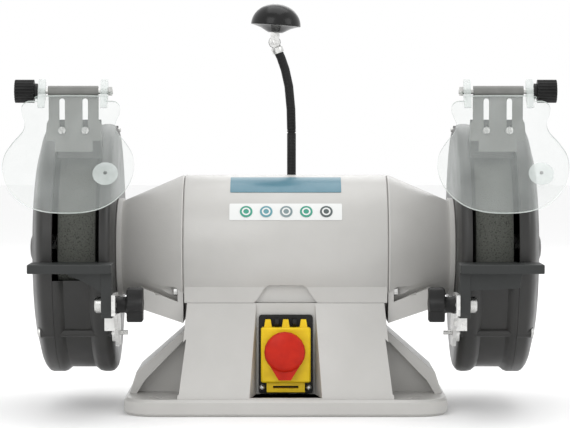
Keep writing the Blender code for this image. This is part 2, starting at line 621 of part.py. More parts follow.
def makeRestClamp(name, side, studPivot, knobPivot):
    y, z = REST_PIVOT_Y, AXIS_HEIGHT + REST_PIVOT_Z
    legOut = REST_LEFT_X + REST_LEG
    knobEnd = REST_LEFT_X - GAP - BRACKET_THICK - GAP
    stud = [(knobEnd - 0.022, 0), (knobEnd - 0.022, STUD_RADIUS), (legOut + GAP, STUD_RADIUS),
            (legOut + GAP, 0.0085), (legOut + 0.006, 0.0085), (legOut + 0.0075, 0.007),
            (legOut + 0.0075, 0)]
    piece(f"rest_stud_{name}", turned([(side * x, r) for x, r in stud], "X", (0, y, z), 16),
          BRIGHT_STEEL, studPivot)
    bore = STUD_RADIUS + GAP
    knobX = 0.148
    body = [(knobX, 0), (knobX, 0.0135), (knobX + 0.0015, 0.0150), (0.165, 0.0150),
            (0.1665, 0.0085), (knobEnd - 0.004, 0.0085), (knobEnd, 0.0095), (knobEnd, bore),
            (knobEnd - 0.0225, bore), (knobEnd - 0.0225, 0)]
    knob = piece(f"rest_knob_{name}", turned([(side * x, r) for x, r in body], "X", (0, y, z), 16),
                 BLACK_PLASTIC, knobPivot)
    for i in range(KNOB_LOBES):
        a = 2 * pi * i / KNOB_LOBES
        lobe = (0, y + 0.0130 * cos(a), z + 0.0130 * sin(a))
        join(knob, rod(side * knobX, side * 0.165, 0.0068, "X", lobe, 8))


def makeArrester(name, side, pivot):
    """A slotted plate that slides on two screws, with a knuckle for the shield's rod on top."""
    back = FLANGE_FRONT_Y - GAP
    front = back - ARRESTER_THICK
    middle = arresterMiddle(side)
    half = LUG_GAP / 2 - 0.0025
    wide = ARRESTER_WIDTH / 2
    tongue = 0.0200
    z0 = AXIS_HEIGHT
    outline = [(-tongue, z0 + MOUTH_HIGH), (tongue, z0 + MOUTH_HIGH), (tongue, z0 + 0.1185),
               (wide, z0 + 0.1185), (wide - 0.0015, z0 + FLANGE_TOP - 0.004), (half, z0 + FLANGE_TOP),
               (half, ROD_Z), (-half, ROD_Z), (-half, z0 + FLANGE_TOP),
               (-wide + 0.0015, z0 + FLANGE_TOP - 0.004), (-wide, z0 + 0.1185),
               (-tongue, z0 + 0.1185)]
    plate = prism(shifted(outline, middle, 0), back, front, "Y")
    arrester = piece(f"spark_arrester_{name}", plate, GREY_PLATE, pivot)
    join(arrester, rod(middle - half, middle + half, ROD_RADIUS + 0.0028, "X", (0, ROD_Y, ROD_Z), 16))
    slotLow = z0 + ARRESTER_SCREW_Z - 0.0032
    slotHigh = ROD_Z - 0.0075
    for offset in (-1, 1):
        x = middle + offset * ARRESTER_SCREW_GAP / 2
        slot = roundedRectangle(0.0058, slotHigh - slotLow, 0.0028, 4)
        cut(arrester, prism(shifted(slot, x, (slotHigh + slotLow) / 2), back + 0.001, front - 0.001, "Y"))
    cut(arrester, rod(middle - 0.04, middle + 0.04, ROD_RADIUS + GAP, "X", (0, ROD_Y, ROD_Z), 16))
    for i, offset in enumerate((-1, 1)):
        x = middle + offset * ARRESTER_SCREW_GAP / 2
        head = front - GAP
        screw = [(FLANGE_FRONT_Y + 0.008, 0), (FLANGE_FRONT_Y + 0.008, 0.0019), (head, 0.0019),
                 (head, 0.0046), (head - 0.0024, 0.0040), (head - 0.0034, 0.0024), (head - 0.0034, 0)]
        piece(f"arrester_screw_{name}_{i + 1}",
              turned(screw, "Y", (x, 0, z0 + ARRESTER_SCREW_Z), 8), BRIGHT_STEEL)


def shieldOutline():
    """Half widths and distances down from the rod, for a plate with a waist and a wide round foot."""
    marks = [(0.034, 0.0075), (0.0345, 0.0140), (0.046, 0.0145), (0.0520, 0.0200), (0.0515, 0.029),
             (0.0475, 0.040), (0.0495, 0.051), (0.060, 0.064), (0.0675, 0.079), (0.0685, 0.096),
             (0.064, 0.113), (0.054, 0.128), (0.040, 0.139), (0.022, 0.145), (0.0, 0.1465)]
    return [(u, -v) for u, v in marks] + [(-u, -v) for u, v in reversed(marks[:-1])]


def makeShield(name, side, pivot):
    middle = side * SHIELD_CENTRE_X
    bm = prism(shifted(shieldOutline(), middle, 0), -SHIELD_THICK - 0.002, -0.002, "Y")
    place = Matrix.Translation((0, ROD_Y, ROD_Z)) @ Matrix.Rotation(-SHIELD_TILT, 4, "X")
    bmesh.ops.transform(bm, matrix=place, verts=bm.verts)
    shield = piece(f"eye_shield_{name}", bm, CLEAR_PLASTIC, pivot)
    knuckle = arresterMiddle(side)
    for offset in (-1, 1):
        x = knuckle + offset * (LUG_GAP / 2 + LUG_WIDTH / 2)
        lug = box((x - LUG_WIDTH / 2, -0.0075, -0.014), (x + LUG_WIDTH / 2, 0.0065, 0.014))
        tie = box((x - LUG_WIDTH / 2, -SHIELD_THICK - 0.0018, -0.022),
                  (x + LUG_WIDTH / 2, -0.0022, -0.004))
        for solid in (lug, tie):
            bmesh.ops.transform(solid, matrix=place, verts=solid.verts)
            join(shield, solid)
    lens = rod(-SHIELD_THICK - 0.0045, -0.0008, 0.0135, "Y", (SHIELD_CENTRE_X * side + 0.039, 0, -0.101), 16)
    bmesh.ops.transform(lens, matrix=place, verts=lens.verts)
    join(shield, lens)
    cut(shield, rod(knuckle - 0.06, knuckle + 0.06, ROD_RADIUS + GAP, "X", (0, ROD_Y, ROD_Z), 16))


def makeShieldKnob(name, side, pivot):
    """The hinge rod with its ribbed clamp knob at the outer end and its nut at the inner end."""
    knuckle = ARRESTER_LOW_X + ARRESTER_WIDTH / 2 + 0.001
    reach = LUG_GAP / 2 + LUG_WIDTH + GAP
    inner, outer = knuckle - reach, knuckle + reach
    knob = 0.0125
    profile = [(inner - 0.0048, 0), (inner - 0.0048, 0.0048), (inner, 0.0055), (inner, ROD_RADIUS),
               (outer, ROD_RADIUS), (outer, 0.0085), (outer + 0.003, 0.0085), (outer + 0.0035, knob - 0.001),
               (outer + 0.005, knob), (outer + 0.0225, knob), (outer + 0.0245, knob - 0.002),
               (outer + 0.0245, 0)]
    piece(f"shield_knob_{name}", turned([(side * x, r) for x, r in profile], "X", (0, ROD_Y, ROD_Z), 20),
          BLACK_PLASTIC, pivot)


def makeSwitch(coverPivot, stopPivot, startPivot):
    backY = -COLUMN_TOP_DEPTH / 2 - GAP
    halfW, halfH = SWITCH_WIDTH / 2, SWITCH_HEIGHT / 2
    plateFront = backY - 0.003
    outline = shifted(roundedRectangle(SWITCH_WIDTH, SWITCH_HEIGHT, 0.003, 2), 0, SWITCH_Z)
    plate = piece("switch_plate", prism(outline, plateFront, backY, "Y"), BLACK_PLASTIC)
    hingeZ = SWITCH_Z + halfH - 0.008
    hingeY = plateFront - 0.0042
    startZ = SWITCH_Z + START_RISE
    for x in (-1, 1):
        middle = x * 0.0095
        join(plate, box((middle - 0.0022, hingeY, hingeZ - 0.004),
                        (middle + 0.0022, plateFront + 0.001, hingeZ + 0.004)))
        join(plate, rod(middle - 0.0022, middle + 0.0022, 0.0041, "X", (0, hingeY, hingeZ), 16))
    cut(plate, rod(-0.05, 0.05, 0.0018, "X", (0, hingeY, hingeZ), 8))
    cut(plate, rod(backY + 0.001, plateFront - 0.001, START_RADIUS + 0.0006, "Y", (0, 0, startZ), 20))
    body = prism([(-0.0215, SWITCH_Z - 0.033), (0.0215, SWITCH_Z - 0.033), (0.0215, SWITCH_Z + 0.033),
                  (-0.0215, SWITCH_Z + 0.033)], backY + 0.0003, backY + 0.045, "Y")
    body = piece("switch_body", softened(body, 0.002), BLACK_PLASTIC)
    cut(body, rod(backY - 0.001, backY + 0.012, START_RADIUS + 0.0006, "Y", (0, 0, startZ), 20))
    startButton = turned([(plateFront - 0.0018, 0), (plateFront - 0.0018, START_RADIUS - 0.001),
                          (plateFront - 0.0008, START_RADIUS), (backY + 0.006, START_RADIUS),
                          (backY + 0.006, 0)],
                         "Y", (0, 0, startZ), 20)
    piece("start_button", startButton, GREEN_PLASTIC, startPivot)
    makeSwitchCover(coverPivot, plateFront, hingeY, hingeZ)
    makeStopButton(stopPivot, plateFront)


def makeSwitchCover(pivot, plateFront, hingeY, hingeZ):
    """A yellow cover hung from three knuckles, hollow behind, with a latch tab at the bottom."""
    low, high = SWITCH_Z - 0.0295, hingeZ - 0.0048
    front = plateFront - 0.0135
    back = plateFront - GAP
    shell = softened(box((-0.0265, front, low), (0.0265, back, high)), 0.0015)
    cover = piece("switch_cover", shell, YELLOW_PLASTIC, pivot)
    for x in (-0.019, 0, 0.019):
        join(cover, prism(shifted([(-0.0045, -0.0065), (0.0045, -0.0065), (0.0028, 0.0036),
                                   (-0.0028, 0.0036)], x, hingeZ), hingeY - 0.0040, hingeY + 0.0005, "Y"))
    join(cover, box((-0.0205, plateFront - 0.0095, low - 0.0105), (0.0205, back, low + 0.002)))
    cut(cover, box((-0.0245, front + 0.002, low + 0.002), (0.0245, back + 0.001, high - 0.002)))
    cut(cover, box((-0.0135, plateFront - 0.02, low - 0.0062), (0.0135, back + 0.01, low - 0.0036)))
    cut(cover, rod(front - 0.005, back, 0.0098, "Y", (STOP_X, 0, STOP_Z), 20))


def makeStopButton(pivot, plateFront):
    front = plateFront - 0.0135
    profile = [(front + 0.0085, 0), (front + 0.0085, 0.0115), (front + 0.0024, 0.0115),
               (front + 0.0024, 0.0094), (front - 0.0055, 0.0094), (front - 0.0055, BUTTON_RADIUS - 0.001),
               (front - 0.0090, BUTTON_RADIUS), (front - 0.0125, BUTTON_RADIUS - 0.0012),
               (front - 0.0150, BUTTON_RADIUS - 0.0050), (front - 0.0158, 0)]
    button = piece("stop_button", turned(profile, "Y", (STOP_X, 0, STOP_Z), 20), RED_PLASTIC, pivot)
    tail = [(-0.0165, -0.0135), (0.0165, -0.0135), (0.0065, -0.0300), (-0.0065, -0.0300)]
    join(button, prism(shifted(tail, STOP_X, STOP_Z), front - 0.0105, front - 0.0058, "Y"))


def makeLamp(neckPivot, headPivot):
    baseZ = AXIS_HEIGHT + sqrt(MOTOR_RADIUS ** 2 - LAMP_Y ** 2)
    boss = turned([(baseZ - 0.012, 0), (baseZ - 0.012, 0.0115), (baseZ + 0.014, 0.0115),
                   (baseZ + 0.017, 0.009), (baseZ + 0.026, 0.008), (baseZ + 0.026, NECK_RADIUS),
                   (NECK_BEND_Z - NECK_RELIEF, NECK_RADIUS), (NECK_BEND_Z, 0)], "Z", (NECK_X, LAMP_Y, 0), 20)
    lower = piece("gooseneck_lower", boss, BLACK_PLASTIC)
    cut(lower, rod(-0.1, 0.1, MOTOR_RADIUS + GAP, "X", (0, 0, AXIS_HEIGHT), 36))
    points = [(NECK_X, NECK_BEND_Z), (NECK_X - 0.0006, 0.325), (NECK_X - 0.0030, 0.351),
              (NECK_X - 0.0072, 0.370), (NECK_X - 0.0117, 0.383), (HEAD_X + 0.0020, HEAD_Z - 0.0062)]
    upper = piece("gooseneck_upper", neckTube(points), BLACK_PLASTIC, neckPivot)
    cut(upper, turned([(NECK_BEND_Z - 0.001, 0), (NECK_BEND_Z - 0.001, 2 * NECK_RADIUS),
                       (NECK_BEND_Z + 2 * NECK_RELIEF + GAP, 2 * NECK_RADIUS), (NECK_BEND_Z + GAP, 0)],
                      "Z", (NECK_X, LAMP_Y, 0), 20))
    join(upper, rod(-0.0032, 0.0032, 0.0068, "Y", (HEAD_X, LAMP_Y, HEAD_Z), 16))
    lean = Matrix.Translation((HEAD_X, LAMP_Y, HEAD_Z)) @ Matrix.Rotation(radians(4), 4, "Y")
    r = SHADE_RADIUS
    rim = 0.0185
    outer = [(0.0110, 0), (0.0110, 0.0085), (0.0128, 0.0120), (rim - 0.001, 0.0205), (rim + 0.001, 0.0205),
             (rim + 0.001, 0.0185), (0.0150, 0.0115), (0.0150, 0.0042), (rim + r * 0.86, 0.0042)]
    shell = [(rim + 0.0235 * sin(a) - 0.0014 * sin(a), (r - 0.0016) * cos(a))
             for a in (radians(d) for d in (60, 30, 0))]
    dome = [(rim + 0.0250 * sin(a), r * cos(a)) for a in (radians(d) for d in (0, 30, 60, 90))]
    top = rim + 0.0215
    profile = outer[:-1] + [(top, 0.0042)] + shell + [(rim - 0.0006, r - 0.0008)] + dome[:-1]
    profile.append((dome[-1][0], 0))
    head = turned(profile, "Z", (0, 0, 0), 20)
    bmesh.ops.transform(head, matrix=lean, verts=head.verts)
    shade = piece("lamp_shade", head, BLACK_PLASTIC, headPivot)
    for y in (-0.0056, 0.0056):
        fork = box((-0.0048, y - 0.0018, -0.0020), (0.0048, y + 0.0018, 0.0118))
        bmesh.ops.transform(fork, matrix=lean, verts=fork.verts)
        join(shade, fork)
    bulb = turned([(rim + 0.0008, 0.0048), (rim + 0.0008, 0.0095), (rim + 0.0038, 0.0140),
                   (rim + 0.0100, 0.0150), (rim + 0.0145, 0.0110), (rim + 0.0160, 0.0048)],
                  "Z", (0, 0, 0.0006), 16)
    bmesh.ops.transform(bulb, matrix=lean, verts=bulb.verts)
    piece("lamp_bulb", bulb, OPAL_GLASS, headPivot)


def neckTube(points):
    """A round tube through points given as (X, Z), with its rings square to the curve."""
    bm = bmesh.new()
    rings = []
    for i, (x, z) in enumerate(points):
        before, after = points[max(i - 1, 0)], points[min(i + 1, len(points) - 1)]
        lean = atan2(after[0] - before[0], after[1] - before[1]) if i else 0.0
        turn = Matrix.Translation((x, LAMP_Y, z)) @ Matrix.Rotation(lean, 4, "Y")
        rings.append([bm.verts.new(turn @ Vector((NECK_RADIUS * cos(a), NECK_RADIUS * sin(a), 0)))
                      for a in (2 * pi * k / 16 for k in range(16))])
    for lower, upper in zip(rings, rings[1:]):
        for k in range(16):
            bm.faces.new((lower[k], lower[(k + 1) % 16], upper[(k + 1) % 16], upper[k]))
    bm.faces.new(reversed(rings[0]))
    bm.faces.new(rings[-1])
    return tidy(bm)


def makeBenchGrinder():
    clearScene()
    makePedestal()
    makeBaseCover()
    makeCableGland()
    makeMotor()
    makeRotor(pivotAt("rotor", (0, 0, AXIS_HEIGHT)))
    studZ = AXIS_HEIGHT + REST_PIVOT_Z
    for name, side in SIDES:
        makeEndBell(name, side)
        makeBearing(name, side)
        makeTieBolt(f"tie_bolt_front_{name}", side, -TIE_BOLT_Y)
        makeTieBolt(f"tie_bolt_rear_{name}", side, TIE_BOLT_Y)
        makeGuard(name, side)
        makeCover(name, side)
        makeRestBracket(name, side)
        stud = pivotAt(f"rest_stud_pivot_{name}", (side * REST_LEFT_X, REST_PIVOT_Y, studZ))
        makeToolRest(name, side, pivotAt(f"tool_rest_pivot_{name}", stud.location))
        makeRestClamp(name, side, stud, pivotAt(f"rest_knob_pivot_{name}", stud.location))
        hinge = (arresterMiddle(side), ROD_Y, ROD_Z)
        makeArrester(name, side, pivotAt(f"arrester_pivot_{name}", hinge))
        makeShield(name, side, pivotAt(f"shield_pivot_{name}", hinge))
        makeShieldKnob(name, side, pivotAt(f"shield_knob_pivot_{name}", hinge))
    plateFront = -COLUMN_TOP_DEPTH / 2 - GAP - 0.003
    hingeZ = SWITCH_Z + SWITCH_HEIGHT / 2 - 0.008
    makeSwitch(pivotAt("cover_pivot", (0, plateFront - 0.0042, hingeZ)),
               pivotAt("stop_pivot", (STOP_X, plateFront - 0.0135, STOP_Z)),
               pivotAt("start_pivot", (0, plateFront, SWITCH_Z + START_RISE)))
    makeLamp(pivotAt("neck_pivot", (NECK_X, LAMP_Y, NECK_BEND_Z)),
             pivotAt("head_pivot", (HEAD_X, LAMP_Y, HEAD_Z)))


makeBenchGrinder()
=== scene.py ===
import json
from math import atan2, cos, pi, radians, sin

import bmesh
import bpy
from mathutils import Matrix, Vector


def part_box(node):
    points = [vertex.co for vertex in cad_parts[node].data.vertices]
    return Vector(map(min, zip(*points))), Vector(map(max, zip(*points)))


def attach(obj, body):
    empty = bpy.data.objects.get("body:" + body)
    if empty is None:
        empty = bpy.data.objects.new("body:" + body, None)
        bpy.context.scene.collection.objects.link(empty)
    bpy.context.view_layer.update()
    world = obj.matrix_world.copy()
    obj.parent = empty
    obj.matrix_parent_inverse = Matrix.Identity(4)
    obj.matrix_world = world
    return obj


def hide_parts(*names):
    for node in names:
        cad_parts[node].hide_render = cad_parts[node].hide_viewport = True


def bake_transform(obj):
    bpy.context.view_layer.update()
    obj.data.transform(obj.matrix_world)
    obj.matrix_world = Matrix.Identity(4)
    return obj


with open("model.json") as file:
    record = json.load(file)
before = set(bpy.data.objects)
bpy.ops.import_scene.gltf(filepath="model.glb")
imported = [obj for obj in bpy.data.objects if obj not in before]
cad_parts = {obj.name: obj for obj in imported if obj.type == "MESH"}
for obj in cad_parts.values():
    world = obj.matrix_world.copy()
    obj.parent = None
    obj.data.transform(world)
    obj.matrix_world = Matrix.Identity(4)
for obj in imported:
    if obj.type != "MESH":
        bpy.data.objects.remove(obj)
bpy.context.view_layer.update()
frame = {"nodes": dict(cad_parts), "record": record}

sides = (("left", -1), ("right", 1))
shaftHeight = sum(corner[2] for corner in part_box("shaft")) / 2


class Wire:
    def __init__(self, paint, socket):
        self.paint, self.socket = paint, socket

    def maths(self, kind, other, flip=False):
        first, second = (other, self) if flip else (self, other)
        return self.paint.node("ShaderNodeMath", {"operation": kind}, [first, second])

    def __add__(self, other):
        return self.maths("ADD", other)

    def __radd__(self, other):
        return self.maths("ADD", other, True)

    def __sub__(self, other):
        return self.maths("SUBTRACT", other)

    def __rsub__(self, other):
        return self.maths("SUBTRACT", other, True)

    def __mul__(self, other):
        return self.maths("MULTIPLY", other)

    def __rmul__(self, other):
        return self.maths("MULTIPLY", other, True)


# One material. It starts from the finish's plain values and takes links where they vary.
class Paint:
    def __init__(self, name, colour, roughness, metallic=0.0, **fixed):
        self.material = bpy.data.materials.new(name)
        self.material.use_nodes = True
        self.tree = self.material.node_tree
        self.shader = self.tree.nodes["Principled BSDF"]
        self.material.diffuse_color = (*colour, 1)
        self.put("Base Color", (*colour, 1))
        self.put("Roughness", roughness)
        self.put("Metallic", metallic)
        for key, value in fixed.items():
            self.put(key.replace("_", " "), value)
        self.place = self.node("ShaderNodeTexCoord", {}, [], "Object")

    def put(self, name, value):
        if isinstance(value, Wire):
            self.tree.links.new(value.socket, self.shader.inputs[name])
        else:
            self.shader.inputs[name].default_value = value

    def node(self, kind, settings, inputs, output=0):
        made = self.tree.nodes.new(kind)
        for key, value in settings.items():
            if key == "stops":
                ramp = made.color_ramp.elements
                while len(ramp) < len(value):
                    ramp.new(0.5)
                for stop, (position, shade) in zip(ramp, value):
                    stop.position, stop.color = position, shade
            else:
                setattr(made, key, value)
        pairs = inputs.items() if isinstance(inputs, dict) else enumerate(inputs)
        for key, value in pairs:
            if isinstance(value, Wire):
                self.tree.links.new(value.socket, made.inputs[key])
            elif value is not None:
                made.inputs[key].default_value = value
        return Wire(self, made.outputs[output])

    def noise(self, size, detail=2.0, roughness=0.5, place=None):
        return self.node("ShaderNodeTexNoise", {}, {"Vector": place or self.place, "Scale": 1 / size,
                                                    "Detail": detail, "Roughness": roughness}, "Fac")

    def cells(self, size, output="Distance"):
        return self.node("ShaderNodeTexVoronoi", {}, {"Vector": self.place, "Scale": 1 / size}, output)

    def ramp(self, value, low, high, dark=0.0, bright=1.0):
        stops = ((low, (dark, dark, dark, 1)), (high, (bright, bright, bright, 1)))
        return self.node("ShaderNodeValToRGB", {"stops": stops}, [value], "Color")

    def blendColours(self, mask, first, second):
        colours = {"Factor": mask, "A": first, "B": second}
        made = self.tree.nodes.new("ShaderNodeMix")
        made.data_type = "RGBA"
        for key, socket in (("Factor", 0), ("A", 6), ("B", 7)):
            value = colours[key]
            if isinstance(value, Wire):
                self.tree.links.new(value.socket, made.inputs[socket])
            else:
                made.inputs[socket].default_value = value if key == "Factor" else (*value, 1)
        return Wire(self, made.outputs[2])

    def bump(self, height, depth, strength=1.0):
        inputs = {"Height": height, "Distance": depth, "Strength": strength}
        self.put("Normal", self.node("ShaderNodeBump", {}, inputs, "Normal"))


def castPaint():
    look = dict(colour=(0.475, 0.468, 0.450), shadow=(0.405, 0.398, 0.380), orangePeel=0.0016, cloud=0.045)
    paint = Paint("light enamel on iron", look["colour"], 0.36, Coat_Weight=0.25, Coat_Roughness=0.22)
    cloud = paint.noise(look["cloud"], 3.0)
    peel = paint.noise(look["orangePeel"], 2.0)
    grit = paint.noise(look["orangePeel"] * 5, 3.0)
    colour = paint.blendColours(paint.ramp(cloud, 0.35, 0.70, 0.0, 0.35), look["colour"], look["shadow"])
    paint.put("Base Color", colour)
    paint.put("Roughness", 0.30 + paint.ramp(grit, 0.3, 0.75) * 0.14)
    paint.bump(peel * 0.5 + grit, 0.00028, 0.5)
    return paint.material


def darkPaint():
    look = dict(colour=(0.020, 0.020, 0.019), dust=(0.036, 0.035, 0.033), peel=0.0014)
    paint = Paint("dark enamel", look["colour"], 0.34, Specular_IOR_Level=0.42)
    dust = paint.noise(0.03, 4.0)
    peel = paint.noise(look["peel"], 2.0)
    dusty = paint.ramp(dust, 0.4, 0.8, 0.0, 0.5)
    paint.put("Base Color", paint.blendColours(dusty, look["colour"], look["dust"]))
    paint.put("Roughness", 0.30 + paint.ramp(dust, 0.35, 0.75) * 0.16)
    paint.bump(peel, 0.0002, 0.45)
    return paint.material


def restPaint():
    paint = Paint("blackened rest paint", (0.013, 0.015, 0.0145), 0.5)
    wear = paint.noise(0.012, 5.0, 0.65)
    scratches = paint.noise(0.0016, 3.0)
    paint.put("Base Color", paint.blendColours(paint.ramp(wear, 0.55, 0.8, 0.0, 0.5), (0.013, 0.015, 0.0145),
                                               (0.030, 0.033, 0.032)))
    paint.put("Roughness", 0.42 + paint.ramp(wear, 0.3, 0.8) * 0.2)
    paint.bump(scratches, 0.0002, 0.5)
    return paint.material


def platePaint():
    look = dict(colour=(0.150, 0.152, 0.143), pale=(0.19, 0.192, 0.182))
    paint = Paint("grey plate paint", look["colour"], 0.4, 0.15)
    cloud = paint.noise(0.02, 3.0)
    peel = paint.noise(0.0012, 2.0)
    paint.put("Base Color", paint.blendColours(paint.ramp(cloud, 0.35, 0.7), look["colour"], look["pale"]))
    paint.put("Roughness", 0.36 + paint.ramp(cloud, 0.3, 0.8) * 0.14)
    paint.bump(peel, 0.00015, 0.4)
    return paint.material


# Fine rings about the shaft's direction, with faint tarnish.
def turnedSteel(name="turned steel", colour=(0.60, 0.60, 0.585), rough=0.24):
    paint = Paint(name, colour, rough, 1.0)
    stretched = paint.node("ShaderNodeMapping", {}, {"Vector": paint.place, "Scale": (14, 1, 1)})
    rings = paint.noise(0.006, 2.0, 0.5, stretched)
    tarnish = paint.noise(0.02, 4.0)
    duller = tuple(channel * 0.72 for channel in colour)
    paint.put("Base Color", paint.blendColours(paint.ramp(tarnish, 0.4, 0.8), colour, duller))
    paint.put("Roughness", rough - 0.04 + paint.ramp(rings, 0.3, 0.7) * 0.16)
    paint.bump(rings, 0.00006, 0.4)
    return paint.material


# Zinc plating: flat pale grains, each with its own gloss.
def zincPlate():
    paint = Paint("zinc plating", (0.70, 0.70, 0.685), 0.34, 0.9)
    grains = paint.cells(0.0045, "Color")
    tone = paint.ramp(grains, 0.1, 0.9)
    paint.put("Base Color", paint.blendColours(tone, (0.60, 0.60, 0.59), (0.80, 0.80, 0.78)))
    paint.put("Roughness", 0.26 + tone * 0.2)
    paint.bump(paint.noise(0.002, 3.0), 0.00008, 0.4)
    return paint.material


# Bonded grain: coarse grey-green crystals with dark pores, and a few bright facets.
def abrasive():
    look = dict(base=(0.075, 0.078, 0.069), pale=(0.105, 0.109, 0.096), pore=(0.040, 0.042, 0.037),
                grain=0.0009)
    paint = Paint("bonded abrasive", look["base"], 0.93, Specular_IOR_Level=0.25)
    grain = paint.cells(look["grain"])
    tint = paint.ramp(paint.cells(look["grain"] * 0.8, "Color"), 0.15, 0.95)
    pores = paint.ramp(paint.noise(look["grain"] * 1.8, 3.0), 0.33, 0.47, 1.0, 0.0)
    colour = paint.blendColours(tint, look["base"], look["pale"])
    paint.put("Base Color", paint.blendColours(pores, colour, look["pore"]))
    paint.put("Roughness", 0.86 + tint * 0.1)
    paint.bump(0.6 - grain * 0.7 - pores * 0.6, 0.0005, 0.9)
    return paint.material


def blackMoulding(name="black moulding", gloss=0.42):
    paint = Paint(name, (0.018, 0.018, 0.018), gloss, Specular_IOR_Level=0.28)
    grain = paint.noise(0.0009, 2.0)
    paint.put("Base Color", paint.blendColours(paint.noise(0.01, 3.0), (0.004, 0.004, 0.004),
                                               (0.012, 0.012, 0.012)))
    paint.put("Roughness", gloss - 0.05 + grain * 0.14)
    paint.bump(grain, 0.00015, 0.5)
    return paint.material


def colourMoulding(name, colour, deeper, gloss=0.34):
    paint = Paint(name, colour, gloss, Specular_IOR_Level=0.25)
    cloud = paint.noise(0.012, 3.0)
    paint.put("Base Color", paint.blendColours(paint.ramp(cloud, 0.35, 0.75), colour, deeper))
    paint.put("Roughness", gloss - 0.04 + cloud * 0.12)
    paint.bump(paint.noise(0.0011, 2.0), 0.00012, 0.4)
    return paint.material


# Clear acrylic with a faint green cast: mostly transparent, with a gloss on its faces.
def clearSheet():
    paint = Paint("clear acrylic", (0.62, 0.66, 0.64), 0.05, IOR=1.49, Specular_IOR_Level=0.5)
    haze = paint.ramp(paint.noise(0.035, 4.0), 0.35, 0.75, 0.13, 0.19)
    paint.put("Alpha", haze)
    paint.put("Roughness", 0.04 + paint.noise(0.006, 3.0) * 0.06)
    paint.material.surface_render_method = "BLENDED"
    return paint.material


# The sawn and flamed edge of the acrylic, which gathers light and looks pale.
def clearEdge():
    paint = Paint("acrylic edge", (0.90, 0.94, 0.915), 0.16, IOR=1.49)
    paint.put("Alpha", 0.72 + paint.noise(0.01, 2.0) * 0.15)
    paint.put("Base Color", paint.blendColours(paint.noise(0.008, 2.0), (0.60, 0.67, 0.63),
                                               (0.82, 0.86, 0.84)))
    return paint.material


# thicker clear mouldings: hinge lugs and the lens
def clearSolid():
    paint = Paint("clear lug", (0.66, 0.71, 0.69), 0.08, IOR=1.49, Specular_IOR_Level=0.7)
    paint.put("Alpha", 0.30 + paint.noise(0.01, 3.0) * 0.16)
    paint.material.surface_render_method = "BLENDED"
    return paint.material


# printed foil: flat colour with a little sheen and cloudiness
def printedSheet(name, colour, paler):
    paint = Paint(name, colour, 0.3, Coat_Weight=0.3, Coat_Roughness=0.15)
    paint.put("Base Color", paint.blendColours(paint.noise(0.02, 3.0), colour, paler))
    paint.put("Roughness", 0.26 + paint.noise(0.003, 2.0) * 0.1)
    return paint.material


def copperWire():
    paint = Paint("varnished windings", (0.50, 0.22, 0.10), 0.35, 0.85)
    strands = paint.node("ShaderNodeTexWave", {"bands_direction": "X"},
                         {"Vector": paint.place, "Scale": 260.0, "Distortion": 1.5}, "Fac")
    paint.put("Base Color", paint.blendColours(strands, (0.28, 0.10, 0.04), (0.62, 0.30, 0.14)))
    paint.bump(strands, 0.0004, 0.7)
    return paint.material


def opalLens():
    paint = Paint("opal diffuser", (0.88, 0.87, 0.82), 0.28, Subsurface_Weight=0.2)
    paint.put("Roughness", 0.24 + paint.noise(0.004, 2.0) * 0.1)
    paint.put("Base Color", paint.blendColours(paint.noise(0.01, 2.0), (0.82, 0.81, 0.75),
                                               (0.92, 0.91, 0.87)))
    return paint.material


finishes = {
    "light_cast": castPaint(), "dark_paint": darkPaint(), "black_steel": restPaint(),
    "grey_plate": platePaint(), "steel": turnedSteel(), "zinc": zincPlate(), "stone": abrasive(),
    "clear_plastic": clearSheet(), "black_plastic": blackMoulding(),
    "black_neck": blackMoulding("black sleeving", 0.5), "gloss_black": blackMoulding("glossy black", 0.16),
    "yellow_plastic": colourMoulding("yellow moulding", (0.80, 0.56, 0.010), (0.70, 0.47, 0.008)),
    "red_plastic": colourMoulding("red moulding", (0.50, 0.012, 0.0), (0.40, 0.007, 0.0), 0.40),
    "green_plastic": colourMoulding("green moulding", (0.03, 0.34, 0.09), (0.02, 0.26, 0.07)),
    "copper": copperWire(), "opal": opalLens(),
}
acrylicEdge = clearEdge()
clearLug = clearSolid()
plateBlue = printedSheet("blank blue plate", (0.030, 0.130, 0.185), (0.060, 0.19, 0.25))
labelPale = printedSheet("pale label", (0.66, 0.67, 0.66), (0.72, 0.73, 0.72))
labelGreen = printedSheet("green mark", (0.02, 0.24, 0.16), (0.04, 0.29, 0.20))
labelTeal = printedSheet("teal mark", (0.09, 0.26, 0.30), (0.12, 0.30, 0.34))
labelGrey = printedSheet("grey mark", (0.16, 0.22, 0.23), (0.20, 0.26, 0.27))
labelInk = printedSheet("dark mark", (0.05, 0.07, 0.07), (0.08, 0.10, 0.10))
print("materials:", len(finishes))


bodyOf = {}
for bodyName, nodeNames in frame["record"]["behaviour"]["bodies"].items():
    for nodeName in nodeNames:
        bodyOf[nodeName] = bodyName
slotOf = {entry["node"]: entry["material_slot"] for entry in frame["record"]["subparts"]}
axisPlaces = {"X": (1, 2, 0), "Y": (0, 2, 1), "Z": (0, 1, 2)}


def cleaned(bm, gap=1e-6):
    bmesh.ops.remove_doubles(bm, verts=bm.verts, dist=gap)
    bmesh.ops.recalc_face_normals(bm, faces=bm.faces)
    return bm


